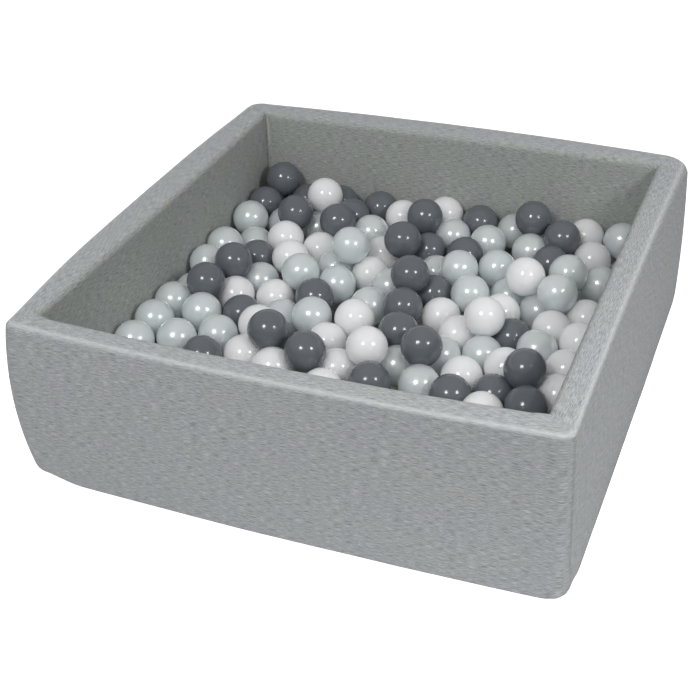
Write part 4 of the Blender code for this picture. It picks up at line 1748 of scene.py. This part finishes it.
    def add_hidden(self, balls: list[Ball]) -> None:
        """Fill the places that the front and right walls hide, in staggered rows."""
        height = self.bed_top + self.hidden_share * self.radius
        reach = self.hidden_reach_share * self.diameter
        for row, column, place in self.staggered(height, 0):
            if all(math.dist(place[:2], ball.centre[:2]) > reach for ball in balls):
                colour = Colour.WHITE if (row + column) % 2 else Colour.PEARL
                balls.append(Ball(colour, Tier.DEEP, place))

    def push_apart(self, first: Ball, second: Ball, least: float) -> float:
        """Move two balls apart to the least distance and return how far they overlapped."""
        a, b = first.centre, second.centre
        apart = math.dist(a, b)
        if apart >= least:
            return 0.0
        for axis in range(3):
            move = (b[axis] - a[axis]) * 0.5 * (least - apart) / apart
            a[axis] -= move
            b[axis] += move
        return least - apart

    def guide(self, ball: Ball) -> None:
        """Draw a ball back toward its line of sight and its first height."""
        if ball.ray is None:
            return
        eye = self.viewpoint.place
        along = sum((ball.centre[axis] - eye[axis]) * ball.ray[axis] for axis in range(3))
        for axis in range(3):
            on_ray = eye[axis] + ball.ray[axis] * along
            ball.centre[axis] += self.ray_pull_share * (on_ray - ball.centre[axis])
        ball.centre[2] += self.tier_pull_share * (ball.start_height - ball.centre[2])

    def keep_inside(self, ball: Ball) -> None:
        """Keep a ball inside the walls and its range of heights."""
        limit = self.limit()
        share = self.loose_highest_share if ball.tier is Tier.TOP else self.joined_highest_share
        lowest = self.bed_top + self.lowest_share * self.radius
        ball.centre[0] = min(max(ball.centre[0], -limit), limit)
        ball.centre[1] = min(max(ball.centre[1], -limit), limit)
        ball.centre[2] = min(max(ball.centre[2], lowest), self.bed_top + share * self.radius)

    def near_pairs(self, balls: list[Ball], reach: float) -> list[tuple[int, int]]:
        """Return the index pairs of balls whose centres are within the reach."""
        return [
            (i, j)
            for i, first in enumerate(balls)
            for j in range(i + 1, len(balls))
            if math.dist(first.centre, balls[j].centre) < reach
        ]

    def settle(self, balls: list[Ball]) -> None:
        """Move the balls apart until none overlaps. Joined balls that find no room are left out."""
        least = self.diameter + self.space
        while True:
            for turn in range(self.settle_rounds):
                if turn % self.neighbour_rounds == 0:
                    pairs = self.near_pairs(balls, 2 * least)
                overlaps = [0.0] * len(balls)
                for i, j in pairs:
                    overlap = self.push_apart(balls[i], balls[j], least)
                    overlaps[i] += overlap
                    overlaps[j] += overlap
                if turn < self.guided_rounds:
                    for ball in balls:
                        self.guide(ball)
                for ball in balls:
                    self.keep_inside(ball)
            if max(overlaps) < self.settled_share * self.diameter:
                return
            crowded = [i for i, ball in enumerate(balls) if overlaps[i] and not ball.loose]
            balls.pop(max(crowded or range(len(balls)), key=overlaps.__getitem__))

    def first_touch(self, ball: Ball, balls: list[Ball]) -> tuple[Ball | None, float]:
        """Return the ball that this one meets first on its way down, and its height there."""
        carrier, height = None, self.bed_top + self.lowest_share * self.radius
        for other in balls:
            least = self.diameter + self.space if other.loose else self.diameter - self.seat_depth
            flat = math.dist(ball.centre[:2], other.centre[:2])
            if other is ball or flat >= least:
                continue
            touch = other.centre[2] + math.sqrt(least * least - flat * flat)
            if other.centre[2] < ball.centre[2] and touch > height:
                carrier, height = other, touch
        return carrier, height

    def seat_top_balls(self, balls: list[Ball]) -> None:
        """Let the top balls down onto the others, as the CAD does."""
        for ball in sorted((b for b in balls if b.tier is Tier.TOP), key=lambda b: b.centre[2]):
            carrier, height = self.first_touch(ball, balls)
            while carrier and carrier.loose and carrier.tier is not Tier.TOP:
                carrier.loose = False
                carrier, height = self.first_touch(ball, balls)
            ball.centre[2] = height

    def buried(self, upper: list[Ball]) -> list[tuple[float, float, float]]:
        """Return the centres of the lower balls, which lie on the floor and show in the gaps."""
        limit = self.limit()
        height = self.sizes.floor_top + self.radius + self.buried_rise
        above = np.array([ball.centre for ball in upper if ball.centre[2] < height + self.diameter])
        places = np.array([place for _, _, place in self.staggered(height, 1)])
        for turn in range(self.buried_rounds):
            moves = np.zeros_like(places)
            for others, share in ((above, 1.0), (places, 0.5)):
                gaps = places[:, None] - others[None]
                apart = np.linalg.norm(gaps, axis=2)
                # A ball's distance to itself is 0, which would divide its gap by 0.
                apart[apart < 1e-9] = 1.0
                push = np.clip(self.diameter - apart, 0, None) * share
                push[apart >= self.diameter] = 0
                moves += (gaps / apart[..., None] * push[..., None]).sum(1)
            places[:, :2] = np.clip(places[:, :2] + 0.5 * moves[:, :2], -limit, limit)
            if turn % self.neighbour_rounds == self.neighbour_rounds - 1:
                apart = np.linalg.norm(places[:, None] - above[None], axis=2)
                worst = np.clip(self.diameter - apart, 0, None).max(1)
                if worst.max() > self.buried_overlap:
                    places = np.delete(places, int(worst.argmax()), 0)
        least = self.diameter - self.buried_slack
        kept: list[tuple[float, float, float]] = []
        for place in places:
            clear_above = np.linalg.norm(above - place, axis=1).min() > least
            if clear_above and all(math.dist(place, other) > least for other in kept):
                kept.append(tuple(place))
        return kept

    def ball_model(self, segments: int, rings: int) -> bpy.types.Object:
        """Model one ball at the origin, with its mould seam and its blow mark.

        Args:
            segments: The number of faces round the seam.
            rings: The number of rings from pole to pole, an even number.

        Returns:
            The ball.
        """
        deselect_all()
        bpy.ops.mesh.primitive_uv_sphere_add(segments=segments, ring_count=rings, radius=self.radius)
        ball = bpy.context.object
        ball.name = "ball_model"
        level = 1e-6

        def on_seam(a: Vector, b: Vector) -> bool:
            """Say whether an edge lies on the ball's middle."""
            return abs(a.z) < level and abs(b.z) < level

        bpy.ops.object.mode_set(mode="EDIT")
        bpy.ops.mesh.select_mode(type="EDGE")
        self.select_edges(ball, on_seam)
        bpy.ops.mesh.bevel(offset=self.seam_width, segments=4, affect="EDGES")
        self.select_edges(ball, on_seam)
        grown = 1 + self.seam_height / self.radius
        bpy.ops.transform.resize(value=(grown, grown, 1))
        pole = self.radius * math.cos(math.pi / rings * self.mark_rings)
        self.select_edges(ball, lambda a, b: a.z > pole and b.z > pole)
        bpy.ops.transform.translate(value=(0, 0, -self.mark_depth))
        bpy.ops.object.mode_set(mode="OBJECT")
        bpy.ops.object.shade_smooth()
        return ball

    def select_edges(self, piece: bpy.types.Object, wanted: Callable[[Vector, Vector], bool]) -> None:
        """Select the edges whose ends pass a test, in edit mode."""
        bpy.ops.mesh.select_all(action="DESELECT")
        edit = bmesh.from_edit_mesh(piece.data)
        for edge in edit.edges:
            if wanted(edge.verts[0].co, edge.verts[1].co):
                edge.select_set(True)
        bmesh.update_edit_mesh(piece.data)

    def turned(self, picker: random.Random, place: Iterable[float]) -> Matrix:
        """Return a ball's place with a random turn."""
        axis = Vector([picker.uniform(-1, 1) for _ in range(3)]).normalized()
        return Matrix.Translation(Vector(place)) @ Matrix.Rotation(picker.uniform(0, math.tau), 4, axis)

    def build(self) -> None:
        """Build the loose balls, the joined balls of the bed and the balls under them."""
        balls = self.seen()
        self.add_hidden(balls)
        self.settle(balls)
        self.seat_top_balls(balls)
        picker = random.Random(self.seed)
        model = self.ball_model(*self.ball_faces)
        counts = dict.fromkeys(Colour, 0)
        bed: dict[Colour, list[bpy.types.Object]] = {colour: [] for colour in Colour}
        furthest = 0.0
        for ball in balls:
            if not ball.loose:
                bed[ball.colour].append(copied(model, "bed_ball", self.turned(picker, ball.centre)))
                continue
            counts[ball.colour] += 1
            name, number = ball.colour.value, f"{counts[ball.colour]:02d}"
            node = f"{name}_ball_{number}"
            low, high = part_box(node)
            centre = (low + high) / 2
            furthest = max(furthest, math.dist(centre, ball.centre))
            piece = copied(model, f"play_ball_{name}_{number}", self.turned(picker, centre))
            dress(piece, self.finishes[ball.colour], node)
            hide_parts(node)
        LOG.info("loose balls lie within %.4f mm of their nodes", furthest / MM)
        for colour, copies in bed.items():
            piece = join(copies, f"bed_balls_{colour.value}")
            dress(piece, self.finishes[colour], "pit")
            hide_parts("ball_bed")
            LOG.info("%s: %d balls", piece.name, len(copies))
        self.build_buried(balls, picker)
        bpy.data.objects.remove(model)

    def build_buried(self, upper: list[Ball], picker: random.Random) -> None:
        """Build the lower layer of balls, which shows in the gaps of the upper one."""
        places = self.buried(upper)
        model = self.ball_model(*self.buried_faces)
        groups: dict[Colour, list[bpy.types.Object]] = {colour: [] for colour in Colour}
        for place in places:
            drawn = picker.random()
            colour = next(colour for colour, share in self.buried_shares if drawn <= share)
            groups[colour].append(copied(model, "buried_ball", self.turned(picker, place)))
        for colour, copies in groups.items():
            if copies:
                piece = join(copies, f"buried_balls_{colour.value}")
                dress(piece, self.finishes[colour], "pit")
                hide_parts("ball_bed")
        LOG.info("%d buried balls", len(places))
        bpy.data.objects.remove(model)


# The studio.


@dataclass
class Softbox:
    """A round softbox: its direction from the pit, its distance, its width and its light.

    Args:
        name: The lamp's name.
        toward: The direction from the pit's middle to the lamp.
        level: The brightness that it gives a white matt face square to it.
        distance: How far it is from the pit's middle.
        width: Its width across.
    """

    name: str
    toward: tuple[float, float, float]
    level: float
    distance: float = 4.5
    width: float = 1.1

    def build(self) -> None:
        """Add the lamp, aimed at the pit's middle."""
        lamp = bpy.data.lights.new(self.name, "AREA")
        lamp.shape = "DISK"
        lamp.size = self.width
        lamp.energy = self.level * math.pi**2 * self.distance**2
        made = bpy.data.objects.new(self.name, lamp)
        way = Vector(self.toward).normalized()
        made.location = way * self.distance
        made.rotation_euler = way.to_track_quat("Z", "Y").to_euler()
        bpy.context.scene.collection.objects.link(made)


@dataclass
class Studio:
    """The camera, the softboxes, the fill from the room, and the white floor and wall."""

    viewpoint: Viewpoint
    sensor_mm: float = 36.0
    room_level: float = 0.44
    floor_level: float = 0.90
    pool_grey: float = 0.80
    floor_grey: float = 0.10
    pool_radius: float = 0.9
    pool_edge: float = 1.6
    floor_radius: float = 9.0
    wall_height: float = 3.0
    lamps: tuple[Softbox, ...] = (
        Softbox("softbox_left", (-0.082, -0.651, 0.756), 0.345),
        Softbox("softbox_right", (0.700, -0.310, 0.645), 0.23, distance=2.2, width=0.42),
    )

    def build(self) -> None:
        """Build the studio."""
        self.add_camera()
        for lamp in self.lamps:
            lamp.build()
        self.add_world()
        self.add_floor()
        bpy.context.scene.view_settings.view_transform = "Standard"

    def add_camera(self) -> None:
        """Add the camera at the photograph's viewpoint, with the shift that its framing needs."""
        lens = bpy.data.cameras.new("photo_camera")
        lens.sensor_width = self.sensor_mm
        lens.lens = self.sensor_mm * self.viewpoint.focal_pixels / PHOTO_PIXELS
        lens.shift_x = (PHOTO_PIXELS / 2 - self.viewpoint.centre_pixels[0]) / PHOTO_PIXELS
        lens.shift_y = (self.viewpoint.centre_pixels[1] - PHOTO_PIXELS / 2) / PHOTO_PIXELS
        lens.clip_end = 100.0
        camera = bpy.data.objects.new("photo_camera", lens)
        right, up, ahead = self.viewpoint.axes()
        turn = Matrix((right, up, -ahead)).transposed().to_4x4()
        camera.matrix_world = Matrix.Translation(self.viewpoint.place) @ turn
        bpy.context.scene.collection.objects.link(camera)
        bpy.context.scene.camera = camera

    def add_world(self) -> None:
        """Light the room evenly, at the level that fills the shadows."""
        world = bpy.data.worlds.new("room")
        world.use_nodes = True
        background = world.node_tree.nodes["Background"]
        background.inputs["Color"].default_value = (1.0, 1.0, 1.0, 1.0)
        background.inputs["Strength"].default_value = self.room_level
        bpy.context.scene.world = world

    def backdrop_surface(self) -> bpy.types.Material:
        """Return the white paper of the floor and wall.

        It shows white to the camera and in reflections, and takes the object's shadow.
        """
        material = bpy.data.materials.new("white_backdrop_paper")
        material.use_nodes = True
        tree = material.node_tree
        tree.nodes.clear()
        path = add_node(tree, "ShaderNodeLightPath").outputs
        seen = add_node(
            tree,
            "ShaderNodeMath",
            {0: path["Is Camera Ray"], 1: path["Is Glossy Ray"]},
            operation="MAXIMUM",
        ).outputs["Value"]
        shown = add_node(
            tree, "ShaderNodeMath", {0: seen, 1: path["Is Transmission Ray"]}, operation="MAXIMUM"
        ).outputs["Value"]
        # The paper lies in a pool of light round the pit, and the room beyond is dim.
        place = add_node(tree, "ShaderNodeTexCoord").outputs["Object"]
        away = add_node(tree, "ShaderNodeVectorMath", {0: place}, operation="LENGTH").outputs["Value"]
        bright = self.pool(tree, away, self.floor_level, 1.0)
        level = add_node(
            tree, "ShaderNodeMath", {0: shown, 1: bright}, operation="MULTIPLY"
        ).outputs["Value"]
        glow = add_node(
            tree, "ShaderNodeEmission", {"Color": (1.0, 1.0, 1.0, 1.0), "Strength": level}
        ).outputs["Emission"]
        grey = self.pool(tree, away, self.pool_grey, self.floor_grey)
        paper = add_node(tree, "ShaderNodeBsdfDiffuse", {"Color": grey}).outputs["BSDF"]
        both = add_node(tree, "ShaderNodeAddShader", {0: glow, 1: paper}).outputs["Shader"]
        add_node(tree, "ShaderNodeOutputMaterial", {"Surface": both})
        return material

    def pool(
        self, tree: bpy.types.NodeTree, away: bpy.types.NodeSocket, near: float, far: float
    ) -> bpy.types.NodeSocket:
        """Return a value that goes from near, round the pit, to far, beyond the pool of light."""
        ends = {"From Min": self.pool_radius, "From Max": self.pool_edge, "To Min": near, "To Max": far}
        return add_node(
            tree, "ShaderNodeMapRange", {"Value": away, **ends}, interpolation_type="SMOOTHSTEP"
        ).outputs["Result"]

    def add_floor(self) -> None:
        """Add the round floor and the low wall round it."""
        paper = self.backdrop_surface()
        deselect_all()
        bpy.ops.mesh.primitive_circle_add(
            vertices=96, radius=self.floor_radius, fill_type="NGON", location=(0, 0, -0.5 * MM)
        )
        floor = bpy.context.object
        floor.name = "studio_floor"
        bpy.ops.object.mode_set(mode="EDIT")
        bpy.ops.mesh.select_all(action="SELECT")
        bpy.ops.mesh.select_mode(type="EDGE")
        bpy.ops.mesh.region_to_loop()
        bpy.ops.mesh.extrude_region_move(
            TRANSFORM_OT_translate={"value": (0.0, 0.0, self.wall_height)}
        )
        bpy.ops.object.mode_set(mode="OBJECT")
        floor.data.materials.append(paper)


# The whole.


def main() -> None:
    """Load the frame, build every piece of the ball pit on it and set the studio."""
    logging.basicConfig(level=logging.INFO, format="%(name)s: %(message)s")
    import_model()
    sizes = PitSizes()
    viewpoint = Viewpoint()
    jersey = MelangeJersey().build()
    foam = PolyurethaneFoam().build()
    Cover(sizes, jersey, foam).build()
    Zip(WovenTape().build(), CastZinc().build(), SewingThread().build()).build()
    dark = BlownPolyethylene("blown_polyethylene_dark", "#676C72", "#5F646A", depth=0.0)
    white = BlownPolyethylene("blown_polyethylene_white", "#F3F4F6", "#EEEFF2")
    pearl = BlownPolyethylene(
        "blown_polyethylene_pearl", "#D6E0E2", "#CCD6D8", mica=0.08, depth=120.0 * MM
    )
    finishes = {Colour.DARK: dark.build(), Colour.WHITE: white.build(), Colour.PEARL: pearl.build()}
    BallFill(sizes, viewpoint, finishes).build()
    Studio(viewpoint).build()


if __name__ == "__main__":
    main()
